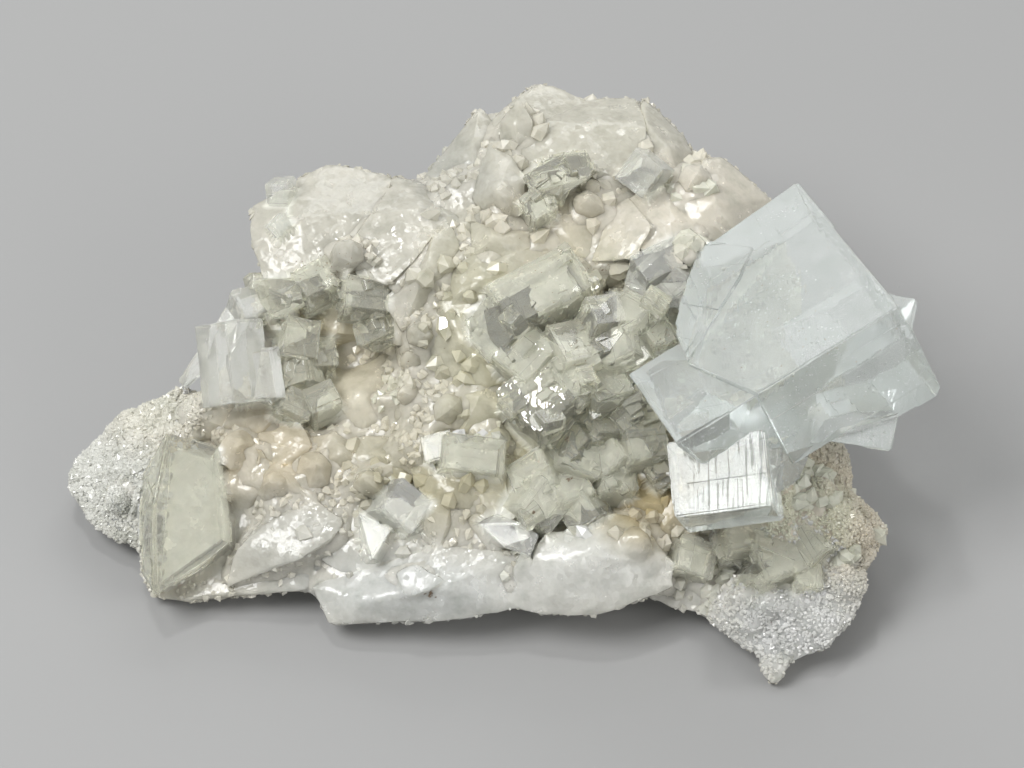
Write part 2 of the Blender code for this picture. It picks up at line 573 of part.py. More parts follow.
def middle_quartz():
    """The lumps and stout crystals that fill the middle of the face."""
    return [
        mound([(-1.0, -4.6, 3.0), (3.4, -7.0, 3.4), (6.0, -10.4, 4.2), (4.2, -13.6, 5.0),
               (-1.4, -14.2, 5.6), (-2.0, -9.0, 4.6)], 8.0),
        lump(-9.6, -16.6, 4.2, 4.6, 44),
        mound([(2.0, 18.0, 0.0), (9.6, 15.6, 1.4), (12.4, 21.0, -1.0), (9.0, 25.6, -3.0),
               (1.4, 25.4, -2.6), (6.0, 20.0, 1.2)], 8.0),
        mound([(-5.2, 20.2, 0.6), (-2.8, 20.7, 0.6), (2.0, 18.9, 1.4), (2.4, 16.8, 2.2),
               (-1.0, 15.4, 3.4), (-5.2, 16.0, 2.6), (-2.2, 18.2, 4.0)], 8.0),
        mound([(-9.2, 11.4, 2.6), (-7.5, 14.4, 3.0), (-5.0, 16.2, 2.8), (1.0, 16.9, 2.6),
               (6.4, 15.8, 1.4), (2.0, 12.0, 3.0), (-2.4, 9.6, 4.4), (-8.2, 9.4, 3.6),
               (-3.4, 13.2, 6.0)], 9.0),
        mound([(-9.2, 10.4, 3.4), (-4.0, 10.4, 4.4), (-2.2, 6.0, 3.8), (-4.4, 1.0, 2.6),
               (-7.0, -1.0, 2.0), (-9.8, 1.0, 1.6), (-10.2, 5.0, 2.0), (-6.2, 5.4, 5.2)], 9.0),
        mound([(-24.2, -0.4, -5.0), (-22.4, 2.4, -5.4), (-19.0, 2.8, -5.4), (-17.6, 2.3, -4.6),
               (-15.0, 3.9, -4.6), (-13.3, 1.4, -3.8), (-14.2, -2.0, -2.4), (-15.4, -6.2, -0.6),
               (-19.4, -6.6, -0.6), (-24.8, -5.4, -2.4), (-19.2, -1.4, 1.4)], 8.0),
        mound([(-14.6, -6.6, 2.6), (-9.2, -5.6, 3.4), (-1.0, -6.0, 4.0), (-0.8, -14.0, 6.0),
               (-5.0, -15.8, 6.8), (-10.4, -15.2, 5.8), (-12.6, -11.0, 4.6), (-6.2, -12.4, 7.6)],
              9.0),
        mound([(-20.2, -6.8, 0.0), (-14.0, -6.2, 1.6), (-11.4, -9.0, 3.2), (-12.4, -12.4, 4.2),
               (-19.0, -11.6, 2.8), (-23.0, -9.0, 0.6), (-16.4, -9.0, 4.2)], 9.0),
        mound([(-20.0, -14.2, 3.0), (-12.0, -14.0, 4.6), (-8.0, -18.4, 6.0), (-13.0, -22.4, 5.6),
               (-20.4, -24.2, 4.6), (-24.0, -22.0, 4.0), (-17.0, -18.6, 5.0)], 8.0),
        lump(-32.2, -5.6, -2.6, 4.6, 21),
        lump(-37.6, -3.8, -3.4, 4.2, 22),
        lump(-28.2, -8.6, -1.6, 4.8, 23),
        lump(-32.6, -11.4, -0.8, 5.4, 24),
        lump(-26.4, -14.0, 0.4, 5.4, 25),
        lump(-22.0, -10.0, -0.6, 5.0, 26),
        lump(-12.8, 7.4, -1.2, 4.4, 27),
        lump(-11.6, 3.6, -2.4, 4.0, 28),
        lump(-28.6, 7.8, -3.8, 4.6, 29),
        lump(-22.0, 8.2, -4.4, 5.0, 30),
        lump(-20.6, 14.8, -1.8, 4.8, 31),
        lump(-11.8, -3.4, 0.0, 4.4, 32),
        lump(-4.0, -3.4, 1.6, 4.8, 33),
        lump(-3.6, 2.4, 1.4, 4.4, 34),
        lump(-1.6, -17.0, 4.6, 5.0, 35),
        lump(5.0, -13.6, 2.4, 5.6, 36),
        lump(12.6, -11.6, 2.2, 6.0, 37),
        lump(16.8, -15.6, 3.0, 5.0, 38),
        lump(20.8, -16.6, 4.2, 4.4, 39),
        lump(20.6, -20.6, 2.4, 4.6, 40),
        lump(7.0, 12.0, 0.0, 6.0, 41),
        lump(12.0, 3.0, 2.6, 7.0, 42),
        lump(4.0, 2.0, 1.0, 6.0, 43),
    ]


def front_points():
    """Stout quartz points that stand out of the crust on the face."""
    table = [
        (-20.8, 15.6, 1.4, 0.3, 0.5, 2.0, 4.4), (-11.0, 6.0, 1.0, -0.4, 0.2, 1.9, 4.6),
        (-12.0, 2.4, -1.0, -0.3, 0.3, 1.8, 4.6), (-12.6, -1.6, 1.4, -0.4, 0.3, 1.9, 4.4),
        (-8.2, -3.4, 2.8, 0.1, 0.1, 2.1, 4.0), (-2.2, -6.8, 3.8, 0.2, -0.3, 2.0, 4.2),
        (-34.4, -8.4, 0.6, 0.1, 0.2, 2.6, 4.0), (-29.6, -12.8, 2.0, -0.2, 0.3, 2.6, 4.0),
        (-24.8, -11.0, 2.0, 0.1, 0.2, 2.4, 3.8), (-49.0, -14.4, -3.2, -0.3, 0.0, 2.2, 2.8),
        (-17.6, -12.6, 3.6, -0.3, 0.3, 2.0, 4.2), (15.2, -20.0, 8.2, 0.3, 0.3, 2.3, 3.6),
        (38.6, -13.4, 6.8, 0.2, 0.4, 2.0, 3.6), (34.4, -13.8, 6.8, -0.2, 0.5, 2.0, 3.8),
        (43.0, -18.6, 4.6, 0.4, 0.1, 2.0, 3.4), (32.2, -27.6, 8.2, -0.2, 0.1, 2.4, 3.0),
        (22.6, 25.2, -1.6, 0.0, 0.3, 2.1, 3.6), (9.6, 22.0, -0.6, 0.0, 0.4, 2.1, 3.4),
    ]
    crystals = []
    for i, (x, y, depth, lean_x, lean_y, radius, length) in enumerate(table):
        axis = FACE_AXES @ Vector((lean_x, lean_y, 1.0))
        crystals.append(quartz_point(spot(x, y, depth), axis, radius, length, 60 + i))
    return crystals


def hidden_side():
    """Broad lumps and stout quartz points over the back and the sides, down to the cut."""
    bm = hull_mesh(core())
    rock = BVHTree.FromBMesh(bm)
    bm.free()
    draw = random.Random(7)
    heart = FACE_CENTRE + Vector((0.0, 6.0, -5.0))
    bodies = []
    rows = ((4.0, 10), (13.0, 8), (22.0, 6), (30.0, 5))
    for row, (height, count) in enumerate(rows):
        for i in range(count):
            bearing = math.radians(-6.0 + 192.0 * (i + 0.5 * (row % 2)) / (count - 0.5))
            aim = Vector((math.cos(bearing), math.sin(bearing), 0.0))
            start = Vector((heart.x, heart.y, height)) + aim * FAR
            hit, normal, _, _ = rock.ray_cast(start * MM, -aim)
            if hit is None:
                continue
            place = hit / MM
            if (row + i) % 3 == 2:
                lean = Vector((draw.uniform(-0.4, 0.4), draw.uniform(-0.4, 0.4), 0.4))
                radius = draw.uniform(3.0, 4.6)
                length = radius * draw.uniform(1.4, 1.9)
                place = place - normal * radius * 0.3
                bodies.append(quartz_point(place, normal + lean, radius, length, 200 + i))
            else:
                radius = draw.uniform(5.5, 8.0)
                bodies.append(boulder(place - normal * radius * 0.45, radius, 300 + 20 * row + i))
    return bodies


def floor_cut():
    """A block below the level that the specimen stands on."""
    corners = itertools.product((-1, 1), (-1, 1), (-1, 0))
    return [Vector((x * FAR, y * FAR, z * FAR)) for x, y, z in corners]


# ---------------------------------------------------------------- the specimen


def clear_scene():
    for obj in list(bpy.data.objects):
        bpy.data.objects.remove(obj)


def build():
    clear_scene()
    blue = material("fluorite_blue", (0.78, 0.86, 0.88), 0.12, 0.6)
    green = material("fluorite_green", (0.84, 0.85, 0.74), 0.15, 0.6)
    clear = material("fluorite_clear", (0.92, 0.93, 0.92), 0.08, 0.7)
    milky = material("quartz_milky", (0.82, 0.80, 0.76), 0.35)
    crystals = [
        ("fluorite_main_cluster", main_cluster(), blue),
        ("fluorite_center_cluster", centre_cluster(), green),
        ("fluorite_left_cube", left_cube(), clear),
        ("fluorite_perched_cube_upper", perched_upper(), clear),
        ("fluorite_perched_cube_lower", perched_lower(), clear),
        ("fluorite_crown_cube", crown_cube(), clear),
        ("fluorite_crown_cluster", crown_cluster(), green),
        ("fluorite_glass_cluster", glass_cluster(), clear),
        ("fluorite_hollow_cubes", hollow_cubes(), green),
        ("fluorite_hollow_row", hollow_row(), green),
        ("fluorite_green_crystal", green_crystal(), green),
        ("fluorite_yellow_crystal", yellow_crystal(), green),
        ("fluorite_front_cube", front_cube(), clear),
        ("fluorite_striped_crystal", striped_crystal(), clear),
        ("fluorite_bright_crystal", bright_crystal(), clear),
        ("fluorite_low_cube", low_cube(), green),
        ("fluorite_lobe_cluster", lobe_cluster(), green),
    ]
    pockets = []
    for name, bodies, mat in crystals:
        grow_piece(name, bodies, pockets, mat)
        pockets += [grown(points, POCKET_GAP) for points in bodies]
    rock = [core()] + wing_and_rim() + right_lobe() + upper_left_quartz() + crown_quartz()
    rock += shoulder_quartz() + middle_quartz() + front_points() + hidden_side()
    grow_piece("quartz_matrix", rock, pockets + [floor_cut()], milky)


build()
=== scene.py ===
# Fluorite specimen: pale fluorite cubes on a crust of milky quartz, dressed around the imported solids.
import json
import math

import bmesh
import bpy
import numpy as np
from mathutils import Matrix, Vector

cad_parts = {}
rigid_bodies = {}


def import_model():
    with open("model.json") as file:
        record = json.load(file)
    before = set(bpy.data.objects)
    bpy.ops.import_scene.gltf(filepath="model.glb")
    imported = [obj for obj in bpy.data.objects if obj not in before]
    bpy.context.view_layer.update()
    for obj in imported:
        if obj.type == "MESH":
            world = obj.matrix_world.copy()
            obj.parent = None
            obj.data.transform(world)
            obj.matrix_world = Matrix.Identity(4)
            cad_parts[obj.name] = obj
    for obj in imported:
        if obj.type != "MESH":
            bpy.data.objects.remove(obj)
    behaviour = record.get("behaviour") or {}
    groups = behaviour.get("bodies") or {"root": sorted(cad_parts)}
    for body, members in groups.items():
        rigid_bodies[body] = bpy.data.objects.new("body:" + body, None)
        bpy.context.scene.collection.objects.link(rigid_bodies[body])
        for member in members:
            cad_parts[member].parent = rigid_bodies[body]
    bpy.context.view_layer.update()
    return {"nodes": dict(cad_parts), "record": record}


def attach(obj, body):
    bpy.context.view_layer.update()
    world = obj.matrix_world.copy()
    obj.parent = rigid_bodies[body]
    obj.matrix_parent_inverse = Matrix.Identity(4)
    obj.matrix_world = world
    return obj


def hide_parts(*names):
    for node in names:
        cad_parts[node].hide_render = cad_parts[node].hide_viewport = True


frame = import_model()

mm = 0.001
nodes = frame["nodes"]

# The crystal face slopes up at 50 degrees. Places on it are (x, y, depth) in mm along sight
# lines that meet 450 mm in front of it, the same layout as the solids use.
face = {
    "centre": np.array([2.5, -5.8, 19.0]),
    "slope": math.radians(50.0),
    "sight": 450.0,
}
faceRight = np.array([1.0, 0.0, 0.0])
faceUp = np.array([0.0, math.sin(face["slope"]), math.cos(face["slope"])])
faceOut = np.array([0.0, -math.cos(face["slope"]), math.sin(face["slope"])])
faceAxes = np.array([faceRight, faceUp, faceOut])


def faceToWorld(places):
    # (x, y, depth) in mm to metres: x and y drawn in by the share of the sight distance left
    p = np.atleast_2d(np.asarray(places, float))
    share = (face["sight"] - p[:, 2:3]) / face["sight"]
    flat = np.hstack([p[:, :2] * share, p[:, 2:3]])
    return (face["centre"] + flat @ faceAxes) * mm


def worldToFace(points):
    # metres to (x, y, depth) in mm, the other way round
    local = (points / mm - face["centre"]) @ faceAxes.T
    share = (face["sight"] - local[:, 2:3]) / face["sight"]
    return np.hstack([local[:, :2] / share, local[:, 2:3]])


def hashNumbers(cells, seed):
    # integer cell to four repeatable numbers in 0..1, by multiplying and mixing bits
    c = cells.astype(np.int64).astype(np.uint64)
    h = c[:, 0] * np.uint64(73856093) ^ c[:, 1] * np.uint64(19349663) ^ c[:, 2] * np.uint64(83492791)
    h ^= np.uint64(seed * 2654435761 & 0xFFFFFFFF)
    out = []
    for k in range(4):
        h = (h ^ (h >> np.uint64(15))) * np.uint64(0x2C1B3C6D + 2 * k + 1) & np.uint64(0xFFFFFFFF)
        h = (h ^ (h >> np.uint64(12))) * np.uint64(0x297A2D39) & np.uint64(0xFFFFFFFF)
        out.append((h ^ (h >> np.uint64(15))).astype(float) / 0xFFFFFFFF)
    return np.array(out).T


def smoothNoise(points, size, seed):
    # value noise in -1..1: hashed corners of a grid, mixed by smoothstep weights
    q = points / size
    base = np.floor(q)
    f = q - base
    w = f * f * (3 - 2 * f)
    total = np.zeros(len(q))
    for corner in np.ndindex(2, 2, 2):
        c = np.array(corner)
        weight = np.prod(np.where(c == 1, w, 1 - w), axis=1)
        total += weight * hashNumbers(base + c, seed)[:, 0]
    return total * 2 - 1


def crystalRelief(points, normals, size, seed):
    # Height of crossing pyramids: every grid cell holds one jittered pyramid whose distance is the
    # largest along three directions in the tangent plane, and the highest pyramid wins.
    q = points / size
    base = np.floor(q)
    side = np.cross(normals, np.array([0.31, 0.83, 0.46]))
    side /= np.linalg.norm(side, axis=1, keepdims=True) + 1e-9
    other = np.cross(normals, side)
    best = np.full(len(q), -9.0)
    for corner in np.ndindex(3, 3, 3):
        cell = base + np.array(corner) - 1
        h = hashNumbers(cell, seed)
        d = q - (cell + h[:, :3])
        u = np.sum(d * side, axis=1)
        v = np.sum(d * other, axis=1)
        away = np.zeros(len(q))
        for k in range(3):
            a = h[:, 3] * 6.28 + math.pi * k / 3
            away = np.maximum(away, np.abs(u * np.cos(a) + v * np.sin(a)))
        up = np.abs(np.sum(d * normals, axis=1))
        best = np.maximum(best, 0.55 + 0.45 * h[:, 3] - away - 0.6 * up)
    return best


def linkedObject(name, data):
    obj = bpy.data.objects.new(name, data)
    bpy.context.scene.collection.objects.link(obj)
    return obj


def newObject(name, verts, faces, mat=None):
    mesh = bpy.data.meshes.new(name)
    mesh.from_pydata(verts, [], faces)
    mesh.update()
    if mat:
        mesh.materials.append(mat)
    return linkedObject(name, mesh)


def mergedCopy(nodeNames, name, extras=()):
    # the named nodes in one object with their loose triangles merged, and extra meshes beside them
    bm = bmesh.new()
    for nodeName in nodeNames:
        bm.from_mesh(nodes[nodeName].data)
    bmesh.ops.remove_doubles(bm, verts=bm.verts, dist=1e-6)
    for extra in extras:
        bm.from_mesh(extra)
    mesh = bpy.data.meshes.new(name)
    bm.to_mesh(mesh)
    bm.free()
    return linkedObject(name, mesh)


def applied(obj):
    # the object's mesh with its modifiers in it
    result = bpy.data.meshes.new_from_object(obj.evaluated_get(bpy.context.evaluated_depsgraph_get()))
    obj.modifiers.clear()
    old = obj.data
    obj.data = result
    result.name = obj.name
    bpy.data.meshes.remove(old)


def readArray(items, prop, width):
    out = np.empty(len(items) * width)
    items.foreach_get(prop, out)
    return out.reshape(-1, width)


def writePoints(mesh, points):
    mesh.vertices.foreach_set("co", points.astype(np.float32).ravel())
    mesh.update()


def edgeArray(mesh):
    out = np.empty(len(mesh.edges) * 2, np.int64)
    mesh.edges.foreach_get("vertices", out)
    return out.reshape(-1, 2)


def spread(values, edges, rounds, weight=None):
    # each value goes half way to the mean of its neighbours, or less by weight, over and over
    v = values.copy()
    n = len(v)
    count = np.bincount(edges.ravel(), minlength=n)[:, None].clip(1)
    w = 0.5 if weight is None else 0.5 * weight[:, None]
    for _ in range(rounds):
        total = np.zeros_like(v)
        for k in range(v.shape[1]):
            total[:, k] = np.bincount(edges[:, 0], v[edges[:, 1], k], n)
            total[:, k] += np.bincount(edges[:, 1], v[edges[:, 0], k], n)
        v += (total / count - v) * w
    return v


def blob(places, centre, radius):
    # 1 inside half of an ellipse on the face, falling to 0 at one and a half of it
    r = np.hypot((places[:, 0] - centre[0]) / radius[0], (places[:, 1] - centre[1]) / radius[1])
    return np.clip(1.5 - r, 0, 1)


def setTint(mesh, tint):
    layer = mesh.attributes.new("tint", "FLOAT_COLOR", "POINT")
    values = np.hstack([tint, np.ones((len(tint), 1))])
    layer.data.foreach_set("color", values.astype(np.float32).ravel())


view = {
    "lens": 126.5625,
    "sensor": 36.0,
    "floorColour": (0.315, 0.315, 0.312),
    "floorSize": 3.0,
    "lightTarget": (0, 0, 0.02),
    # area lights: place in metres, width and height, power in watts and colour
    "lights": {
        "keySoftbox": ((-0.32, -0.12, 0.55), (0.30, 0.30), 3.2, (1, 1, 1)),
        "backSoftbox": ((0.10, 0.50, 0.42), (0.5, 0.25), 1.05, (0.97, 0.985, 1.0)),
        "fillCard": ((0.5, -0.25, 0.3), (0.4, 0.4), 1.1, (1.0, 0.98, 0.95)),
        "glintLamp": ((-0.10, 0.16, 0.70), (0.06, 0.06), 0.8, (1, 1, 1)),
    },
    "roomColour": (0.94, 0.955, 0.965),
    "roomStrength": 0.52,
}


def makeCamera():
    cam = bpy.data.cameras.new("viewCamera")
    cam.lens = view["lens"]
    cam.sensor_width = view["sensor"]
    cam.sensor_fit = "HORIZONTAL"
    cam.clip_start = 0.01
    obj = linkedObject("viewCamera", cam)
    place = (face["centre"] + faceOut * face["sight"]) * mm
    turn = np.eye(4)
    turn[:3, 0] = faceRight
    turn[:3, 1] = faceUp
    turn[:3, 2] = faceOut
    turn[:3, 3] = place
    obj.matrix_world = Matrix(turn.tolist())
    bpy.context.scene.camera = obj


def makeFloor():
    half = view["floorSize"] / 2
    floor = newObject(
        "studioFloor",
        [(-half, -half, 0), (half, -half, 0), (half, half, 0), (-half, half, 0)],
        [(0, 1, 2, 3)])
    mat = bpy.data.materials.new("paleFloor")
    mat.use_nodes = True
    shader = mat.node_tree.nodes["Principled BSDF"]
    shader.inputs["Base Color"].default_value = (*view["floorColour"], 1)
    shader.inputs["Roughness"].default_value = 0.7
    shader.inputs["Specular IOR Level"].default_value = 0.2
    floor.data.materials.append(mat)


def makeLight(name, place, size, power, colour):
    light = bpy.data.lights.new(name, "AREA")
    light.shape = "RECTANGLE"
    light.size = size[0]
    light.size_y = size[1]
    light.energy = power
    light.color = colour
    obj = linkedObject(name, light)
    obj.location = place
    obj.rotation_euler = (Vector(place) - Vector(view["lightTarget"])).to_track_quat("Z", "Y").to_euler()


def makeStudio():
    makeCamera()
    makeFloor()
    for name, settings in view["lights"].items():
        makeLight(name, *settings)
    world = bpy.data.worlds.new("studio")
    bpy.context.scene.world = world
    world.use_nodes = True
    world.node_tree.nodes["Background"].inputs["Color"].default_value = (*view["roomColour"], 1)
    world.node_tree.nodes["Background"].inputs["Strength"].default_value = view["roomStrength"]
    bpy.context.scene.view_settings.view_transform = "Standard"


def nodeTree(name):
    mat = bpy.data.materials.new(name)
    mat.use_nodes = True
    tree = mat.node_tree
    return mat, tree, tree.nodes["Principled BSDF"]


def addNode(tree, kind, **values):
    node = tree.nodes.new(kind)
    for key, value in values.items():
        if key in node.inputs:
            node.inputs[key].default_value = value
        else:
            setattr(node, key, value)
    return node


def link(tree, a, outName, b, inName):
    tree.links.new(a.outputs[outName], b.inputs[inName])


def rampNode(tree, stops):
    node = tree.nodes.new("ShaderNodeValToRGB")
    ramp = node.color_ramp
    while len(ramp.elements) < len(stops):
        ramp.elements.new(0.5)
    for element, (place, colour) in zip(ramp.elements, stops):
        element.position = place
        element.color = (*colour, 1)
    return node


def objectCoords(tree, scale=(1, 1, 1), turn=(0, 0, 0)):
    coords = addNode(tree, "ShaderNodeTexCoord")
    mapping = addNode(tree, "ShaderNodeMapping")
    mapping.inputs["Scale"].default_value = scale
    mapping.inputs["Rotation"].default_value = turn
    link(tree, coords, "Object", mapping, "Vector")
    return mapping


def noiseNode(tree, coords, size, detail=3.0, rough=0.55):
    node = addNode(tree, "ShaderNodeTexNoise", Scale=1 / (size * mm), Detail=detail, Roughness=rough)
    link(tree, coords, "Vector", node, "Vector")
    return node


def rangeNode(tree, source, low, high, toLow, toHigh):
    # a noise between low and high becomes a value between toLow and toHigh
    node = addNode(tree, "ShaderNodeMapRange")
    node.inputs["From Min"].default_value = low
    node.inputs["From Max"].default_value = high
    node.inputs["To Min"].default_value = toLow
    node.inputs["To Max"].default_value = toHigh
    link(tree, source, "Fac", node, "Value")
    return node


def facetNormal(tree, coords, size, tilt, patches):
    # each cell of a grain pattern leans its own way, which reads as small crystal faces, more so
    # where the patches are high
    cells = addNode(tree, "ShaderNodeTexVoronoi", Scale=1 / (size * mm), Randomness=1.0)
    link(tree, coords, "Vector", cells, "Vector")
    centred = addNode(tree, "ShaderNodeVectorMath", operation="SUBTRACT")
    link(tree, cells, "Color", centred, 0)
    centred.inputs[1].default_value = (0.5, 0.5, 0.5)
    lean = addNode(tree, "ShaderNodeVectorMath", operation="SCALE")
    link(tree, centred, "Vector", lean, 0)
    strength = rangeNode(tree, patches, 0.42, 0.62, tilt * 0.2, tilt)
    link(tree, strength, "Result", lean, "Scale")
    geometry = addNode(tree, "ShaderNodeNewGeometry")
    total = addNode(tree, "ShaderNodeVectorMath", operation="ADD")
    link(tree, geometry, "Normal", total, 0)
    link(tree, lean, "Vector", total, 1)
    unit = addNode(tree, "ShaderNodeVectorMath", operation="NORMALIZE")
    link(tree, total, "Vector", unit, 0)
    return unit


# Clear is the transmission, scatter the depth in mm that light spreads under the surface, and
# bump, facet and lean the fine relief: its strength, facet size in mm and how far facets lean.
quartzFinishes = {
    "milkyQuartz": {
        "scatter": 1.2, "clear": 0.30, "roughness": (0.10, 0.28), "bump": 0.25, "facet": 0.8, "lean": 0.42},
    "glassyQuartz": {"scatter": 0, "clear": 0.40, "roughness": (0.04, 0.18), "bump": 0},
}


def quartzMaterial(name, p):
    # tint attribute times a cloudy mottle, light scattered under the surface
    mat, tree, shader = nodeTree(name)
    coords = objectCoords(tree)
    tint = addNode(tree, "ShaderNodeVertexColor", layer_name="tint")
    mottle = noiseNode(tree, coords, 2.6, 3.0, 0.65)
    cloud = [(0.30, (0.76, 0.77, 0.75)), (0.47, (0.91, 0.91, 0.90)), (0.66, (1.0, 1.0, 1.0))]
    shade = rampNode(tree, cloud)
    link(tree, mottle, "Fac", shade, "Fac")
    mix = addNode(tree, "ShaderNodeMix", data_type="RGBA", blend_type="MULTIPLY")
    mix.inputs[0].default_value = 1.0
    tree.links.new(tint.outputs["Color"], mix.inputs[6])
    tree.links.new(shade.outputs["Color"], mix.inputs[7])
    tree.links.new(mix.outputs[2], shader.inputs["Base Color"])
    rough = rangeNode(tree, mottle, 0.35, 0.65, *p["roughness"])
    link(tree, rough, "Result", shader, "Roughness")
    shader.inputs["IOR"].default_value = 1.54
    shader.inputs["Transmission Weight"].default_value = p["clear"]
    if p["scatter"]:
        shader.subsurface_method = "BURLEY"
        shader.inputs["Subsurface Weight"].default_value = 1.0
        shader.inputs["Subsurface Radius"].default_value = (1.0, 0.97, 0.90)
        shader.inputs["Subsurface Scale"].default_value = p["scatter"] * mm
    if p["bump"] == 0:
        return mat
    fine = noiseNode(tree, coords, 0.55, 1.0)
    bump = addNode(tree, "ShaderNodeBump", Strength=p["bump"], Distance=0.2 * mm)
    link(tree, fine, "Fac", bump, "Height")
    link(tree, facetNormal(tree, coords, p["facet"], p["lean"], mottle), "Vector", bump, "Normal")
    link(tree, bump, "Normal", shader, "Normal")
    return mat


def fluoriteMaterial(name, p):
    # see-through crystal: plain transmission with absorption, faces frosted in patches and
    # finely lined along the growth direction
    mat, tree, shader = nodeTree(name)
    coords = objectCoords(tree)
    frost = noiseNode(tree, coords, p["patch"], 2.0, 0.6)
    colour = np.array(p["colour"])
    tone = rampNode(tree, [(0.35, tuple(colour * 0.94)), (0.62, tuple(np.minimum(colour * 1.02, 1.0)))])
    link(tree, frost, "Fac", tone, "Fac")
    link(tree, tone, "Color", shader, "Base Color")
    rough = rangeNode(tree, frost, 0.38, 0.66, *p["roughness"])
    link(tree, rough, "Result", shader, "Roughness")
    shader.inputs["IOR"].default_value = 1.434
    shader.inputs["Transmission Weight"].default_value = p["clear"]
    streak = objectCoords(tree, p["stretch"], tuple(math.radians(t) for t in p["turn"]))
    lines = noiseNode(tree, streak, p["line"], 0.0)
    bump = addNode(tree, "ShaderNodeBump", Strength=p["bump"], Distance=0.1 * mm)
    link(tree, lines, "Fac", bump, "Height")
    link(tree, facetNormal(tree, coords, p["grain"], p["lean"], frost), "Vector", bump, "Normal")
    link(tree, bump, "Normal", shader, "Normal")
    absorb = addNode(tree, "ShaderNodeVolumeAbsorption", Density=p["density"])
    absorb.inputs["Color"].default_value = (*p["depthColour"], 1)
    link(tree, absorb, "Volume", tree.nodes["Material Output"], "Volume")
    return mat


# Colour of the faces, colour and density of the absorption with depth, transmission, roughness of
# clear and frosted patches, patch and growth line size in mm, how the lines run, their strength,
# and the size and lean of the mosaic of the faces.
finishes = {
    "fluorite_blue": {
        "colour": (0.955, 0.99, 0.96), "depthColour": (0.84, 0.95, 0.92), "density": 8.0, "clear": 0.76,
        "roughness": (0.02, 0.14), "patch": 5.0, "line": 0.45, "stretch": (1.0, 0.10, 0.10),
        "turn": (0, 0, 33), "bump": 0.32, "grain": 2.4, "lean": 0.03},
    "fluorite_green": {
        "colour": (1.0, 0.988, 0.87), "depthColour": (0.97, 0.96, 0.55), "density": 7.0, "clear": 0.80,
        "roughness": (0.01, 0.08), "patch": 2.0, "line": 0.40, "stretch": (1.0, 0.2, 0.4),
        "turn": (20, 0, 35), "bump": 0.2, "grain": 1.1, "lean": 0.10},
    "fluorite_clear": {
        "colour": (0.985, 0.995, 0.935), "depthColour": (0.93, 0.96, 0.92), "density": 5.0, "clear": 0.77,
        "roughness": (0.01, 0.06), "patch": 2.0, "line": 0.40, "stretch": (1.0, 0.15, 0.3),
        "turn": (10, 20, 10), "bump": 0.15, "grain": 1.4, "lean": 0.08},
}


print("studio")
makeStudio()

print("finishes")
milky, glassyQuartz = [quartzMaterial(name, p) for name, p in quartzFinishes.items()]
finishOf = {name: fluoriteMaterial(name, p) for name, p in finishes.items()}

# Areas of the crust on the face: centre and radius in mm, tint, sugar 0..1 and relief in mm
crustAreas = [
    ((-50, -11), (9, 11), (0.80, 0.80, 0.75), 1.0, 0.55),
    ((-44, -3), (7, 5), (0.84, 0.81, 0.72), 0.9, 0.5),
    ((-30, -9), (8, 7), (0.66, 0.59, 0.45), 0.25, 0.8),
    ((-28, -19), (10, 5), (0.60, 0.59, 0.53), 0.35, 0.1),
    ((-12, -26), (15, 5), (0.71, 0.72, 0.69), 0.45, 0.25),
    ((10, -22), (11, 7), (0.81, 0.81, 0.76), 0.35, 0.3),
    ((-19, -1), (6, 5), (0.82, 0.77, 0.63), 0.25, 0.0),
    ((-22, 5), (7, 5), (0.70, 0.64, 0.48), 0.3, 0.1),
    ((-20, 19), (13, 7), (0.63, 0.61, 0.53), 0.0, 0.0),
    ((-7, 27), (4, 6), (0.53, 0.53, 0.48), 0.0, 0.0),
    ((8, 31), (14, 6), (0.63, 0.61, 0.52), 0.0, 0.0),
    ((6, 20), (8, 4), (0.67, 0.62, 0.50), 0.15, 0.4),
    ((24, 22), (10, 6), (0.81, 0.76, 0.65), 0.1, 0.0),
    ((-5, 8), (6, 12), (0.61, 0.585, 0.45), 0.05, 0.45),
    ((-10, -11), (10, 6), (0.56, 0.52, 0.37), 0.5, 0.5),
    ((8, 0), (12, 14), (0.80, 0.76, 0.56), 0.3, 0.4),
    ((17, -14), (6, 6), (0.55, 0.46, 0.27), 0.4, 0.2),
    ((36, -17), (10, 9), (0.90, 0.81, 0.66), 1.0, 0.5),
    ((35, -30), (11, 7), (0.84, 0.84, 0.81), 0.7, 0.3),
]

quartzBody = {
    "node": "quartz_matrix",
    # longest side of a triangle in mm, where it faces the viewer and where it doesn't
    "longest": 0.96,
    "hiddenLongest": 1.9,
    # rounds of smoothing: the worn parts, the broad shape they are compared with, and the normals
    "wornRounds": 9,
    "broadRounds": 40,
    "normalRounds": 5,
    "wornFront": 0.10,
    "wornBack": 0.5,
    "sharp": 28,  # degrees from which an edge stays sharp
    "tint": (0.69, 0.665, 0.58),
    "sugar": 0.6,
    "relief": 0.4,
    # yellow stain and painted shade that darkens the hollows away from the crystals
    "stain": (0.97, 0.91, 0.78),
    # painted light: the quartz seen through the seated crystals is tinted near white
    "bed": (0.97, 0.97, 0.90),
    # the painted light on the bed under the pale cube is weaker: centre, radius and share
    "dimBed": ((27, -12), (9, 8), 0.9),
    "bite": 0.22,  # mm that the crust reaches into a crystal beside it
    "raise": 0.74,  # share of a seated crystal's depth that the bed under it rises by
    # width in mm of the small pyramids, the broad ones, the sugar and those under the crystals
    "pyramids": 2.6,
    "broadPyramids": 4.6,
    "sugarPyramids": 1.6,
    "bedPyramids": 2.4,
    # worn parts: centre and radius on the face in mm, and how much they are smoothed, 0..1
    "worn": [
        ((-31, -9), (8, 7), 0.12), ((-19.5, -2), (6, 5), 0.8), ((-26, -17), (12, 4), 0.5),
        ((9, -22), (9, 5), 0.8), ((-12, -26), (12, 3), 0.35), ((-50, -11), (8, 10), 0.6),
        ((35, -17), (9, 7), 0.8), ((35, -30), (10, 6), 0.5),
    ],
}


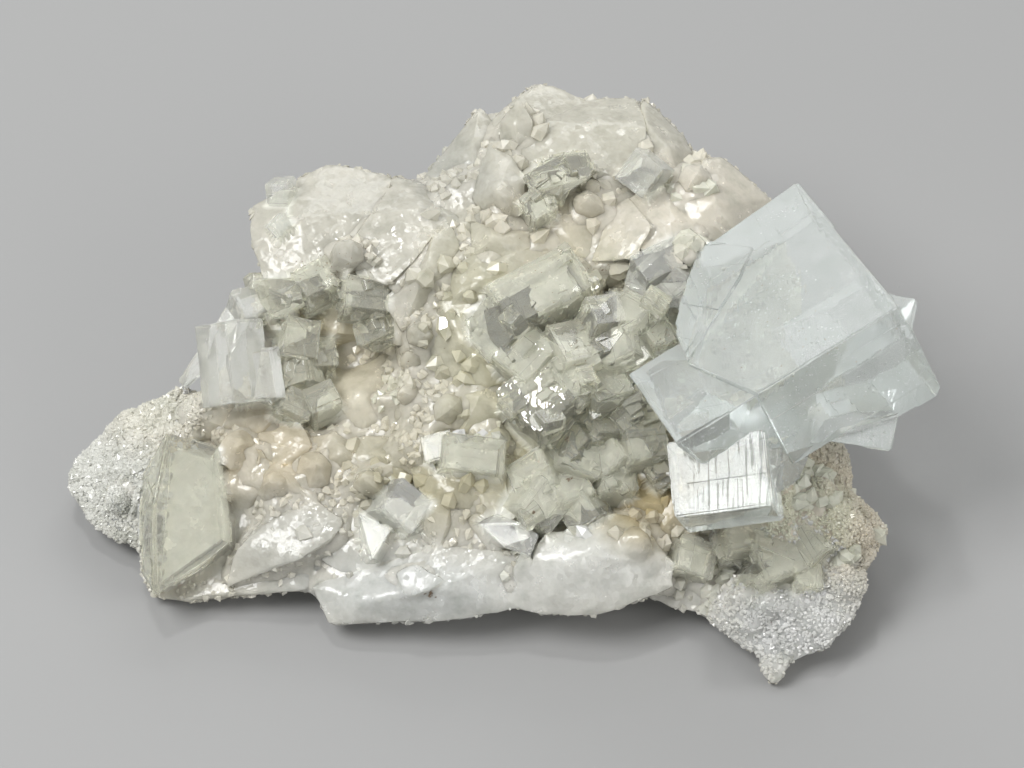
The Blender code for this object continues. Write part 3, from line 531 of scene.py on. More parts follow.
def roundLump(centre, radius, seed, rings=8, around=14):
    # a ball on a grid of turn and height, each point moved in or out by noise
    turns = np.linspace(0, 2 * np.pi, around, endpoint=False)
    t, h = np.meshgrid(turns, np.linspace(-1, 1, rings + 2)[1:-1])
    ring = np.sqrt(1 - h * h)
    unit = np.stack([np.cos(t) * ring, np.sin(t) * ring, h], axis=-1).reshape(-1, 3)
    unit = np.vstack([unit, [[0, 0, -1], [0, 0, 1]]])
    reach = radius * (1 + 0.12 * smoothNoise(unit + seed, 0.7, seed))
    verts = centre + unit * reach[:, None]
    index = np.arange(rings * around).reshape(rings, around)
    after = np.roll(index, -1, axis=1)
    quads = np.stack([index[:-1], after[:-1], after[1:], index[1:]], axis=-1).reshape(-1, 4)
    low = rings * around
    caps = [(low, int(b), int(a)) for a, b in zip(index[0], after[0])]
    caps += [(low + 1, int(a), int(b)) for a, b in zip(index[-1], after[-1])]
    return newObject(f"lump{seed}", verts.tolist(), quads.tolist() + caps)


def triangleArray(mesh):
    mesh.calc_loop_triangles()
    tris = np.empty(len(mesh.loop_triangles) * 3, np.int32)
    mesh.loop_triangles.foreach_get("vertices", tris)
    return tris.reshape(-1, 3)


def triangleFacts(mesh):
    # triangles, their corners, unit normals and doubled areas
    tris = triangleArray(mesh)
    corner = readArray(mesh.vertices, "co", 3)[tris]
    cross = np.cross(corner[:, 1] - corner[:, 0], corner[:, 2] - corner[:, 0])
    return tris, corner, unitVectors(cross), np.linalg.norm(cross, axis=1)


def fineMesh(obj, longest, hiddenLongest):
    # every triangle with long sides is cut at their middles: one long side makes two triangles,
    # two make three, three make four; sides turned away from the face may stay longer
    points = readArray(obj.data.vertices, "co", 3)
    tris = triangleArray(obj.data)
    for _ in range(8):
        ends = np.sort(np.stack([tris, np.roll(tris, -1, axis=1)], axis=2), axis=2)
        edges, which = np.unique(ends.reshape(-1, 2), axis=0, return_inverse=True)
        which = which.reshape(-1, 3)
        corner = points[tris]
        normals = unitVectors(np.cross(corner[:, 1] - corner[:, 0], corner[:, 2] - corner[:, 0]))
        seen = np.zeros(len(edges), bool)
        seen[which[normals @ faceOut > 0.15]] = True
        length = np.linalg.norm(points[edges[:, 0]] - points[edges[:, 1]], axis=1)
        tooLong = length > np.where(seen, longest, hiddenLongest) * mm
        if not tooLong.any():
            break
        middle = np.full(len(edges), -1)
        middle[tooLong] = len(points) + np.arange(tooLong.sum())
        points = np.vstack([points, points[edges[tooLong]].mean(axis=1)])
        cut = tooLong[which]
        cuts = cut.sum(axis=1)
        # each triangle is turned so that its odd side comes first
        first = np.where(cuts == 2, (~cut).argmax(axis=1), cut.argmax(axis=1))
        order = (first[:, None] + np.arange(3)) % 3
        a, b, c = np.take_along_axis(tris, order, axis=1).T
        ab, bc, ca = np.take_along_axis(middle[which], order, axis=1).T
        patterns = [
            (cuts == 0, [(a, b, c)]),
            (cuts == 1, [(a, ab, c), (ab, b, c)]),
            (cuts == 2, [(bc, c, ca), (a, b, bc), (a, bc, ca)]),
            (cuts == 3, [(a, ab, ca), (b, bc, ab), (c, ca, bc), (ab, bc, ca)]),
        ]
        tris = np.vstack([np.stack(t, axis=1)[chosen] for chosen, parts in patterns for t in parts])
    mesh = bpy.data.meshes.new(obj.name)
    mesh.from_pydata(points.tolist(), [], tris.tolist())
    obj.data = mesh


def nearestPlaces(points, target):
    # each point's nearest place on another object
    probe = newObject("probe", points.tolist(), [])
    snap = probe.modifiers.new("snap", "SHRINKWRAP")
    snap.target = target
    snap.wrap_method = "NEAREST_SURFACEPOINT"
    applied(probe)
    found = readArray(probe.data.vertices, "co", 3)
    bpy.data.objects.remove(probe)
    return found


def frontDistance(points, target, reach=0.06):
    # how far in front of each point the target's front surface lies, 0 where there is none
    # within the reach in metres
    start = points + faceOut * reach
    probe = newObject("probe", (start @ faceAxes.T).tolist(), [])
    probe.matrix_world = Matrix(faceAxes.T.tolist()).to_4x4()
    snap = probe.modifiers.new("snap", "SHRINKWRAP")
    snap.target = target
    snap.wrap_method = "PROJECT"
    snap.use_project_z = True
    snap.use_positive_direction = False
    snap.use_negative_direction = True
    bpy.context.view_layer.update()
    applied(probe)
    found = readArray(probe.data.vertices, "co", 3) @ faceAxes
    bpy.data.objects.remove(probe)
    ahead = (found - points) @ faceOut
    missed = np.abs(ahead - reach) < 1e-6
    return np.where(missed, 0.0, np.maximum(ahead, 0.0))


def smoothStep(values, low, high):
    t = np.clip((values - low) / (high - low), 0, 1)
    return t * t * (3 - 2 * t)


def unitVectors(v):
    return v / (np.linalg.norm(v, axis=1, keepdims=True) + 1e-12)


def areaMix(places, front, p):
    # tint, sugar and relief at each point: areas laid over each other by their blob weight
    n = len(places)
    tint = np.tile(np.array(p["tint"]), (n, 1))
    sugar = np.full(n, p["sugar"])
    relief = np.full(n, p["relief"])
    for at, size, areaTint, areaSugar, areaRelief in crustAreas:
        w = blob(places, at, size) * front
        tint += (np.array(areaTint) - tint) * w[:, None]
        sugar += (areaSugar - sugar) * w
        relief += (areaRelief - relief) * w
    return tint, sugar, relief


def finishCrust(mesh, tint, sharp):
    setTint(mesh, tint)
    mesh.materials.clear()
    mesh.materials.append(milky)
    mesh.shade_smooth()
    mesh.set_sharp_from_angle(angle=math.radians(sharp))


def makeQuartzBody(p, fluorites, seated):
    # The merged matrix is cut fine, its worn parts smoothed, and every point lifted along its
    # normal by the pyramids. Near a crystal it is pulled on to it, and where a seated crystal
    # hides it, it rises towards the crystal's front as a bed tinted near white, painted light for
    # the light the crystal keeps out. Hollows away from the crystals get a yellow stain and painted shade.
    body = mergedCopy([p["node"]], "milkyQuartzBody")
    fineMesh(body, p["longest"], p["hiddenLongest"])
    mesh = body.data
    points = readArray(mesh.vertices, "co", 3)
    edges = edgeArray(mesh)
    places = worldToFace(points)
    normals = readArray(mesh.vertex_normals, "vector", 3)
    front = smoothStep(normals @ faceOut, -0.35, 0.15)
    near = nearestPlaces(points, fluorites)
    gap = np.linalg.norm(near - points, axis=1) / mm
    worn = np.zeros(len(points))
    for centre, radius, amount in p["worn"]:
        worn = np.maximum(worn, blob(places, centre, radius) * amount)
    free = smoothStep(gap, 0.3, 1.0) * smoothStep(points[:, 2] / mm, 0.1, 1.2)
    worn = np.maximum(worn * smoothStep(normals @ faceOut, -0.8, -0.3), p["wornFront"] * front) * free
    worn = np.maximum(worn, p["wornBack"] * (1 - front) * free)
    points = spread(points, edges, p["wornRounds"], worn)
    writePoints(mesh, points)
    normals = readArray(mesh.vertex_normals, "vector", 3)
    broad = spread(points, edges, p["broadRounds"])
    hollow = np.sum((broad - points) * normals, axis=1) / mm
    softNormals = unitVectors(spread(normals, edges, p["normalRounds"]))
    tint, sugar, relief = areaMix(places, front, p)
    # hollows away from the crystals are stained yellow and darkened as painted shade
    creviceStainAndShade = smoothStep(hollow, 0.1, 1.0) * smoothStep(gap, 0.5, 1.0)
    stain = np.array(p["stain"])
    tint *= 1 + (stain - 1) * creviceStainAndShade[:, None]
    # painted light: beside and under the seated crystals the tint goes to the near-white bed colour, less
    # so under the pale cube
    bed = smoothStep(-gap, -0.8, -0.4)
    dimAt, dimSize, dimAmount = p["dimBed"]
    bed *= 1 - dimAmount * blob(places, dimAt, dimSize)
    tint += (np.array(p["bed"]) - tint) * bed[:, None]
    q = points / mm
    foot = smoothStep(q[:, 2], 0.2, 1.6)
    lift = relief * (crystalRelief(q, softNormals, p["pyramids"], 11) - 0.2)
    lift += relief * 0.9 * (crystalRelief(q, softNormals, p["broadPyramids"], 12) - 0.2)
    lift += sugar * 0.12 * (crystalRelief(q, softNormals, p["sugarPyramids"], 13) - 0.3)
    lift += 0.10 * smoothNoise(q, 5.0, 14) + 0.04 * smoothNoise(q, 2.2, 15)
    lift *= smoothStep(gap, 0.25, 1.0)
    points = points + softNormals * (lift * foot * mm)[:, None]
    toward = unitVectors(near - points)
    reach = np.linalg.norm(near - points, axis=1) + p["bite"] * mm
    bite = smoothStep(-gap, -0.75, -0.4)
    points = points + toward * (reach * bite * foot)[:, None]
    under = frontDistance(points, seated) * bite * foot
    rough = 0.4 * crystalRelief(q, softNormals, p["bedPyramids"], 16) * smoothStep(under / mm, 0.5, 2.5)
    points = points + faceOut * (under * p["raise"] + rough * mm)[:, None]
    points[:, 2] = np.maximum(points[:, 2], 0)
    writePoints(mesh, points)
    # the tint holds the stain, the painted crevice shade and the painted bed light
    finishCrust(mesh, tint, p["sharp"])
    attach(body, "root")
    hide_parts(p["node"])
    print("  body points", len(points), "triangles", len(mesh.polygons))
    return body, {"sugar": sugar, "gap": gap, "tint": tint, "front": front, "soft": softNormals}


creviceQuartz = {
    "closing": 1.3,  # mm that the gaps are closed by
    "coarse": 0.62,  # mm of the voxels while it is swollen and shrunk, and then of the last ones
    "voxel": 0.6,
    "smoothRounds": 3,
    "normalRounds": 4,
    "under": 0.3,  # mm that it lies under the body where both meet
    "pyramids": 1.7,  # their width in mm
    "sharp": 32,
    # lumps that raise the floor of the deep gaps: x, y, depth and radius in mm
    "fillers": [
        (-7.1, 18.0, -1.2, 2.6), (-9.6, 10.5, 0.0, 2.6), (-20.9, -13.2, 0.6, 3.0), (-6.8, -19.5, 4.0, 2.6),
        (11.6, 24.0, -3.6, 2.8), (0.4, 20.2, -1.6, 2.4), (3.5, 17.2, -0.4, 2.6), (-6.8, 24.2, -4.8, 2.6),
        (-7.6, -1.2, 0.4, 3.0), (21.6, 19.0, -2.2, 2.6), (24.0, -24.4, 1.8, 2.8), (12.8, 15.8, -0.2, 2.4),
        (21.8, 16.4, 1.8, 2.8), (21.9, 16.0, 4.4, 1.5), (-14.0, 14.0, -1.0, 2.8), (-3.5, 13.0, 0.6, 2.6),
        (-12.0, -8.0, 3.0, 3.0), (-3.0, -8.0, 3.0, 3.0),
    ],
    "tint": (0.80, 0.76, 0.66),
    "tintSpread": 0.45,
    "relief": 0.32,
}


def evenSurface(obj, p):
    # swell, remesh and shrink back, which closes narrow gaps, then an even surface
    for swell in (p["closing"], -p["closing"]):
        remesh = obj.modifiers.new("even", "REMESH")
        remesh.mode = "VOXEL"
        remesh.voxel_size = p["coarse"] * mm
        move = obj.modifiers.new("swell", "DISPLACE")
        move.strength = swell * mm
        move.mid_level = 0
    remesh = obj.modifiers.new("fine", "REMESH")
    remesh.mode = "VOXEL"
    remesh.voxel_size = p["voxel"] * mm
    applied(obj)


def makeCreviceQuartz(p, body, fluorites):
    # The matrix and its filler lumps with the gaps between them closed: the skin that shows
    # between the crystals, and dips under the body elsewhere.
    lumps = [
        roundLump(faceToWorld((x, y, depth))[0], radius * mm, i)
        for i, (x, y, depth, radius) in enumerate(p["fillers"])]
    fill = mergedCopy(["quartz_matrix"], "creviceQuartz", [lump.data for lump in lumps])
    for lump in lumps:
        bpy.data.objects.remove(lump)
    evenSurface(fill, p)
    mesh = fill.data
    points = readArray(mesh.vertices, "co", 3)
    edges = edgeArray(mesh)
    points = spread(points, edges, p["smoothRounds"])
    normals = spread(readArray(mesh.vertex_normals, "vector", 3), edges, p["normalRounds"])
    normals = unitVectors(normals)
    away = np.linalg.norm(nearestPlaces(points, body) - points, axis=1) / mm
    bare = smoothStep(away, 0.28, 0.6)
    gap = np.linalg.norm(nearestPlaces(points, fluorites) - points, axis=1) / mm
    places = worldToFace(points)
    front = smoothStep(normals @ faceOut, -0.35, 0.15)
    q = points / mm
    lift = p["relief"] * (crystalRelief(q, normals, p["pyramids"], 31) - 0.25)
    lift += 0.12 * smoothNoise(q, 3.0, 32)
    lift = lift * smoothStep(away, 0.1, 0.7) - p["under"] * (1 - smoothStep(away, 0.1, 0.45))
    points = points + normals * (lift * mm)[:, None]
    points[:, 2] = np.maximum(points[:, 2], 0.05 * mm)
    writePoints(mesh, points)
    around = areaMix(places, front, quartzBody)[0]
    tint = around + (np.array(p["tint"]) - around) * (p["tintSpread"] * front)[:, None]
    finishCrust(mesh, tint, p["sharp"])
    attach(fill, "root")
    print("  crevice points", len(points), "triangles", 2 * len(mesh.polygons))
    return fill, {"bare": bare, "gap": gap, "tint": tint, "front": front, "soft": normals}


print("quartz body")
fluoriteNames = [n for n in nodes if n != "quartz_matrix"]
fluoriteGuide = mergedCopy(fluoriteNames, "fluoriteGuide")
seatedNames = [n for n in fluoriteNames if n != "fluorite_main_cluster"]
seatedGuide = mergedCopy(seatedNames, "seatedGuide")
quartz, crust = makeQuartzBody(quartzBody, fluoriteGuide, seatedGuide)


def randomSpots(rng, corner, chance, count):
    # Triangles drawn by chance, and a random place on each: its corners' shares are 1 - a,
    # a (1 - b) and a b, where a is the root of a random number and b is another.
    pick = rng.choice(len(corner), count, p=chance / chance.sum())
    a = np.sqrt(rng.random(count))
    b = rng.random(count)
    share = np.stack([1 - a, a * (1 - b), a * b], axis=1)[:, :, None]
    return pick, (corner[pick] * share).sum(axis=1), share


def mixedSizes(rng, limits, count, bias):
    # sizes in metres between the limits in mm, the more small ones the higher the bias
    lo, hi = limits
    return lo * (hi / lo) ** (rng.random(count) ** bias) * mm


def hexArms(rng, axes):
    # for each axis, two directions square to it and six arms at sixths of a turn
    side = unitVectors(np.cross(axes, rng.normal(size=axes.shape)))
    other = np.cross(axes, side)
    turn = np.arange(6) * math.pi / 3
    arm = side[:, None] * np.cos(turn)[None, :, None] + other[:, None] * np.sin(turn)[None, :, None]
    return side, other, arm


def hexSolids(name, foot, rings, tip, mat):
    # one solid per row: a foot, one or two rings of six corners and a tip, joined by triangles
    verts = np.concatenate([foot[:, None], *rings, tip[:, None]], axis=1)
    perSolid = verts.shape[1]
    k = np.arange(6)
    j = (k + 1) % 6
    lastRing = perSolid - 7
    tris = [np.stack([np.zeros(6, int), 1 + j, 1 + k], 1)]
    for r in range(1, lastRing, 6):
        tris += [np.stack([r + k, r + j, r + 6 + j], 1), np.stack([r + k, r + 6 + j, r + 6 + k], 1)]
    tris.append(np.stack([lastRing + k, lastRing + j, np.full(6, perSolid - 1)], 1))
    faces = (np.arange(len(foot))[:, None, None] * perSolid + np.concatenate(tris)).reshape(-1, 3)
    return newObject(name, verts.reshape(-1, 3).tolist(), faces.tolist(), mat)


def hexPoints(name, places, axes, radius, rise, sink, seed, mat):
    # Six-sided prisms with a pyramid at each end: corner k lies at k sixths of a turn on two rings,
    # `sink` below the place and `rise` above it, and the tip one radius or so over the upper ring.
    rng = np.random.default_rng(seed)
    n = len(places)
    side, other, arm = hexArms(rng, axes)
    arm = arm * radius[:, None, None] * rng.uniform(0.82, 1.12, (n, 6, 1))
    up = axes[:, None]
    height = rise[:, None] + rng.uniform(-0.25, 0.25, (n, 6)) * radius[:, None]
    high = places[:, None] + arm + up * height[..., None]
    low = places[:, None] + arm - up * sink[:, None, None]
    lean = side * rng.uniform(-0.3, 0.3, (n, 1)) + other * rng.uniform(-0.3, 0.3, (n, 1))
    lean *= radius[:, None]
    tip = places + axes * (rise + radius * rng.uniform(0.8, 1.35, n))[:, None] + lean
    foot = places - axes * (sink + radius * 0.4)[:, None]
    return hexSolids(name, foot, [low, high], tip, mat)


def hexTips(name, places, axes, radius, rise, sink, seed, mat):
    # Six-sided double pyramids: one ring of six corners at the place, a tip `rise` above it and
    # another `sink` below it.
    rng = np.random.default_rng(seed)
    n = len(places)
    side, other, arm = hexArms(rng, axes)
    ring = places[:, None] + arm * radius[:, None, None] * rng.uniform(0.75, 1.15, (n, 6, 1))
    lean = side * rng.uniform(-0.35, 0.35, (n, 1)) + other * rng.uniform(-0.35, 0.35, (n, 1))
    lean *= radius[:, None]
    tip = places + axes * rise[:, None] + lean
    foot = places - axes * sink[:, None]
    return hexSolids(name, foot, [ring], tip, mat)


druse = {
    # fine tips over the sugary wing and lobe
    "fine": {
        "count": 13000, "radius": (0.26, 0.62), "rise": (0.5, 1.3),
        "tilt": 0.6, "lighter": 1.15, "seed": 41},
    # coarser ones on the hidden sides
    "coarse": {
        "count": 13000, "radius": (0.30, 0.75), "rise": (0.15, 0.7),
        "tilt": 0.4, "lighter": 1.2, "seed": 43},
    # crystals sunk along the crevices, fewer of them on the crown: centre, radius and share left out
    "crevice": {
        "count": 1500, "radius": (0.55, 1.35), "rise": (-0.85, 0.2),
        "tilt": 0.5, "lighter": 1.25, "seed": 47,
        "fewer": ((10, 22), (17, 10), 0.85)},
    # and large clear ones over the middle of the face, within these ellipses
    "middle": {
        "count": 190, "radius": (0.8, 1.8), "rise": (-0.5, 0.35),
        "tilt": 0.55, "lighter": 1.25, "seed": 53,
        "areas": [((-6, 6), (6, 13)), ((-12, -12), (13, 7)), ((10, -17), (10, 4))]},
}


def growDruse(name, p, surface, state, weight, builder, perPoint):
    # crystals along the soft normals, leaning by the tilt, each with its ground's tint made lighter
    rng = np.random.default_rng(p["seed"])
    count = p["count"]
    tris, corner, _, area = triangleFacts(surface.data)
    chance = area * weight[tris].mean(axis=1)
    pick, at, share = randomSpots(np.random.default_rng(p["seed"]), corner, chance, count)
    up = unitVectors((state["soft"][tris[pick]] * share).sum(axis=1))
    near = tris[pick][:, 0]
    radius = mixedSizes(rng, p["radius"], count, 1.5)
    axes = unitVectors(up + rng.normal(size=(count, 3)) * p["tilt"])
    rise = radius * rng.uniform(*p["rise"], count)
    obj = builder(name, at, axes, radius, rise, radius * 1.1, p["seed"] + 1, glassyQuartz)
    grown = readArray(obj.data.vertices, "co", 3)
    grown[:, 2] = np.maximum(grown[:, 2], 0)
    writePoints(obj.data, grown)
    # on the body the ground's tint brings its stain, painted crevice shade and painted bed light
    tint = np.minimum(state["tint"][near] * p["lighter"], 0.95)
    setTint(obj.data, np.repeat(tint, perPoint, axis=0))
    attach(obj, "root")
    print("  ", name, count)


def makeDruse(p, body, crust, fill, crevice):
    bodyPoints = readArray(body.data.vertices, "co", 3)
    above = smoothStep(bodyPoints[:, 2] / mm, 0.7, 2.0)
    clear = smoothStep(crust["gap"], 0.5, 0.8) * above
    sugary = smoothStep(crust["sugar"], 0.55, 0.9) * clear
    growDruse("fineSugar", p["fine"], body, crust, sugary * crust["front"], hexTips, 8)
    hidden = (1 - crust["front"]) * clear + 0.02 * sugary
    growDruse("coarseSugar", p["coarse"], body, crust, hidden, hexTips, 8)
    places = worldToFace(bodyPoints)
    centre = np.zeros(len(places))
    for at, size in p["middle"]["areas"]:
        centre = np.maximum(centre, blob(places, at, size))
    centre *= clear * crust["front"] ** 2
    growDruse("middleCrystals", p["middle"], body, crust, centre, hexPoints, 14)
    fillPoints = readArray(fill.data.vertices, "co", 3)
    crownAt, crownSize, leftOut = p["crevice"]["fewer"]
    bare = 1 - leftOut * blob(worldToFace(fillPoints), crownAt, crownSize)
    bare *= crevice["bare"] * smoothStep(crevice["gap"], 0.3, 0.6)
    bare *= smoothStep(fillPoints[:, 2] / mm, 0.7, 2.0) * (0.04 + crevice["front"])
    growDruse("creviceCrystals", p["crevice"], fill, crevice, bare, hexPoints, 14)


print("crevice quartz")
fill, crevice = makeCreviceQuartz(creviceQuartz, quartz, fluoriteGuide)
print("druse")
makeDruse(druse, quartz, crust, fill, crevice)
for guide in (fluoriteGuide, seatedGuide):
    bpy.data.objects.remove(guide)


def turned(roll, nod, swing):
    # a frame that starts along the face and turns by roll, nod and swing in degrees
    a, b, c = (math.radians(v) for v in (roll, nod, swing))
    rollTurn = np.array([[math.cos(a), -math.sin(a), 0], [math.sin(a), math.cos(a), 0], [0, 0, 1]])
    nodTurn = np.array([[1, 0, 0], [0, math.cos(b), -math.sin(b)], [0, math.sin(b), math.cos(b)]])
    swingTurn = np.array([[math.cos(c), 0, math.sin(c)], [0, 1, 0], [-math.sin(c), 0, math.cos(c)]])
    return faceAxes.T @ rollTurn @ nodTurn @ swingTurn


# How each crystal is dressed: bevel on its long edges in mm, rounds of growth steps, the least
# area in square mm of a face that takes one, its height in mm and the share of faces that do.
dressing = {
    "fluorite_blue": {"bevel": 0.11, "rounds": 3, "area": 14.0, "height": (0.05, 0.16), "share": 0.8},
    "fluorite_green": {"bevel": 0.08, "rounds": 3, "area": 2.0, "height": (0.05, 0.2), "share": 0.6},
    "fluorite_clear": {"bevel": 0.08, "rounds": 2, "area": 2.0, "height": (0.04, 0.12), "share": 0.6},
}


# A bevelled edge is at least so many bevels long and so many radians sharp, between faces of at
# least so many square mm.
bevelFrom = {"length": 10, "angle": 0.4, "area": 0.4}


def bevelLongEdges(bm, width):
    chosen = [
        e for e in bm.edges
        if e.is_manifold and e.is_convex and e.calc_length() > bevelFrom["length"] * width * mm
        and e.calc_face_angle() > bevelFrom["angle"]
        and min(f.calc_area() for f in e.link_faces) > bevelFrom["area"] * mm * mm]
    bmesh.ops.bevel(bm, geom=chosen, offset=width * mm, segments=1, affect="EDGES", clamp_overlap=False)


def splitFace(face, across, level):
    # cuts a face in two with a line between the two edges that it crosses, or leaves it whole
    crossed = []
    for loop in face.loops:
        a = loop.vert.co.dot(across) - level
        b = loop.link_loop_next.vert.co.dot(across) - level
        if a * b < 0 and min(abs(a), abs(b)) > 1e-7:
            crossed.append((loop.edge, loop.vert, a / (a - b)))
    if len(crossed) != 2:
        return []
    ends = [bmesh.utils.edge_split(*place)[1] for place in crossed]
    return [face, bmesh.utils.face_split(face, *ends)[0]]


def raiseFace(bm, face, move):
    # the face moves out, and walls join its old outline to the new one
    low = list(face.verts)
    high = [bm.verts.new(v.co + move) for v in low]
    made = [bm.faces.new((low[k - 1], low[k], high[k], high[k - 1])) for k in range(len(low))]
    made.append(bm.faces.new(high))
    bm.faces.remove(face)
    for f in made:
        f.normal_update()


# Share of the steps that run square to a face's longest side, and where across it they may lie
steps = {"square": 0.4, "between": (0.12, 0.88)}


def growthSteps(bm, p, rng):
    # a face is cut along a line square or parallel to its longest side, and one part is raised
    for _ in range(p["rounds"]):
        faces = [f for f in bm.faces if f.calc_area() > p["area"] * mm * mm]
        for face in faces:
            if rng.random() > p["share"] or not face.is_valid:
                continue
            side = max(face.loops, key=lambda corner: corner.edge.calc_length())
            along = (side.link_loop_next.vert.co - side.vert.co).normalized()
            normal = face.normal.copy()
            if rng.random() < steps["square"]:
                along = normal.cross(along)
            across = normal.cross(along)
            levels = [v.co.dot(across) for v in face.verts]
            level = min(levels) + (max(levels) - min(levels)) * rng.uniform(*steps["between"])
            parts = splitFace(face, across, level)
            if not parts:
                continue
            part = parts[int(rng.integers(len(parts)))]
            raiseFace(bm, part, normal * rng.uniform(*p["height"]) * mm)


# Small cubes that stud the clusters: how many, edge in mm, turn in degrees and how loose it is
cubelets = {
    "fluorite_center_cluster": {
        "count": 120, "edge": (0.8, 2.8), "turn": (36, -26, 10), "loose": 0.20, "seed": 61},
    "fluorite_hollow_cubes": {
        "count": 34, "edge": (0.8, 2.2), "turn": (20, -22, 30), "loose": 0.3, "seed": 62},
    "fluorite_hollow_row": {
        "count": 18, "edge": (0.7, 1.8), "turn": (24, -20, 30), "loose": 0.3, "seed": 63},
    "fluorite_crown_cluster": {
        "count": 20, "edge": (0.7, 1.8), "turn": (28, -18, 12), "loose": 0.3, "seed": 64},
    "fluorite_lobe_cluster": {
        "count": 26, "edge": (0.8, 2.2), "turn": (12, -26, 16), "loose": 0.3, "seed": 65},
}


def cubeletPlaces(p, mesh):
    # where each small cube sits on the front of the crystals, its three half edges and its turn
    rng = np.random.default_rng(p["seed"])
    n = p["count"]
    _, corner, flat, area = triangleFacts(mesh)
    pick, at, _ = randomSpots(rng, corner, area * smoothStep(flat @ faceOut, -0.1, 0.4), n)
    half = mixedSizes(rng, p["edge"], n, 1.6) * 0.5
    at = at - flat[pick] * (half * rng.uniform(0.1, 0.7, n))[:, None]
    sides = rng.uniform(0.75, 1.15, (n, 3)) * half[:, None]
    turns, _ = np.linalg.qr(turned(*p["turn"])[None] + rng.normal(size=(n, 3, 3)) * p["loose"])
    turns *= np.sign(np.linalg.det(turns))[:, None, None]
    return at, sides, turns


cubeCorners = np.array([(x, y, z) for x in (-1, 1) for y in (-1, 1) for z in (-1, 1)], float)
cubeFaces = [(0, 1, 3, 2), (4, 6, 7, 5), (0, 4, 5, 1), (2, 3, 7, 6), (0, 2, 6, 4), (1, 5, 7, 3)]


def joinCubelets(obj, p):
    # one outer skin around the crystals and the small cubes on them
    group = bpy.data.collections.new("joining")
    for at, sides, turn in zip(*cubeletPlaces(p, obj.data)):
        group.objects.link(newObject("cubelet", (at + cubeCorners * sides @ turn.T).tolist(), cubeFaces))
    step = obj.modifiers.new("join", "BOOLEAN")
    step.operand_type = "COLLECTION"
    step.collection = group
    step.operation = "UNION"
    step.solver = "EXACT"
    applied(obj)
    for cube in list(group.objects):
        bpy.data.objects.remove(cube)
    bpy.data.collections.remove(group)


def dressCrystal(nodeName, slotName, seed):
    p = dressing[slotName]
    words = nodeName.split("_")
    obj = mergedCopy([nodeName], words[0] + "".join(w.capitalize() for w in words[1:]))
    if nodeName in cubelets:
        joinCubelets(obj, cubelets[nodeName])
    bm = bmesh.new()
    bm.from_mesh(obj.data)
    bmesh.ops.dissolve_limit(bm, angle_limit=math.radians(0.6), verts=bm.verts, edges=bm.edges)
    bevelLongEdges(bm, p["bevel"])
    # read back from the mesh, so that the faces come in the same order in every run
    bm.to_mesh(obj.data)
    bm.clear()
    bm.from_mesh(obj.data)
    growthSteps(bm, p, np.random.default_rng(seed))
    bmesh.ops.triangulate(bm, faces=[f for f in bm.faces if len(f.verts) > 4])
    loose = sum(1 for e in bm.edges if not e.is_manifold)
    bm.to_mesh(obj.data)
    bm.free()
    obj.data.materials.clear()
    obj.data.materials.append(finishOf[slotName])
    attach(obj, "root")
    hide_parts(nodeName)
    print("  ", obj.name, "faces", len(obj.data.polygons), "open edges", loose)
    return obj


print("fluorite crystals")
slotOf = {s["node"]: s["material_slot"] for s in frame["record"]["subparts"]}
crystals = {n: dressCrystal(n, slotOf[n], i + 5) for i, n in enumerate(sorted(fluoriteNames))}

# How flakes lie: layers as shares of the deepest place, cloud value and mm under the skin from
# which they are kept, how much they tilt and how thick they are for their radius
flakes = {"layers": [0.35, 0.7, 1.0], "cloud": 0.25, "skin": 0.25, "tilt": 0.35, "thick": 0.12}

veils = [
    # healed planes of tiny flakes inside the large crystals: how many before the cloud thins them,
    # deepest place, cloud size and flake radius in mm
    {
        "in": "fluorite_main_cluster", "count": 9000, "deep": 4.5,
        "cloud": 5.0, "radius": (0.03, 0.13), "seed": 71},
    {
        "in": "fluorite_left_cube", "count": 1400, "deep": 1.6,
        "cloud": 2.4, "radius": (0.03, 0.10), "seed": 72},
    {
        "in": "fluorite_center_cluster", "count": 4200, "deep": 1.4,
        "cloud": 2.2, "radius": (0.03, 0.10), "seed": 73},
    {
        "in": "fluorite_green_crystal", "count": 1300, "deep": 1.8,
        "cloud": 3.0, "radius": (0.03, 0.10), "seed": 74},
]


def mottledGrain(name, colour, roughness, clear):
    mat, tree, shader = nodeTree(name)
    coords = objectCoords(tree)
    mottle = noiseNode(tree, coords, 0.8, 1.0)
    tone = rampNode(tree, [(0.35, tuple(np.array(colour) * 0.85)), (0.65, colour)])
    link(tree, mottle, "Fac", tone, "Fac")
    link(tree, tone, "Color", shader, "Base Color")
    shader.inputs["Roughness"].default_value = roughness
    shader.inputs["Transmission Weight"].default_value = clear
    shader.inputs["IOR"].default_value = 1.5
    return mat


def makeVeil(p, crystal):
    # flakes laid in patches under the faces, their flats nearly parallel to the face
    rng = np.random.default_rng(p["seed"])
    _, corner, flat, area = triangleFacts(crystal.data)
    n = p["count"]
    pick, at, _ = randomSpots(rng, corner, area, n)
    flat = flat[pick]
    sheet = 0.35 + 0.65 * np.abs(smoothNoise(at / mm, p["cloud"] * 1.7, p["seed"]))
    at = at - flat * (p["deep"] * sheet * rng.choice(flakes["layers"], n) * mm)[:, None]
    cloud = smoothNoise(at / mm, p["cloud"], p["seed"] + 1)
    cloud += 0.5 * smoothNoise(at / mm, p["cloud"] * 0.4, p["seed"] + 2)
    inside = np.linalg.norm(nearestPlaces(at, crystal) - at, axis=1) > flakes["skin"] * mm
    keep = (cloud > flakes["cloud"]) & inside
    at, flat = at[keep], flat[keep]
    n = len(at)
    radius = mixedSizes(rng, p["radius"], n, 2)
    axes = unitVectors(flat + rng.normal(size=(n, 3)) * flakes["tilt"])
    thick = radius * flakes["thick"]
    name = "veil" + p["in"].split("_", 1)[1].title().replace("_", "")
    obj = hexTips(name, at, axes, radius, thick, thick, p["seed"], veilWhite)
    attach(obj, "root")
    print("  ", name, n)


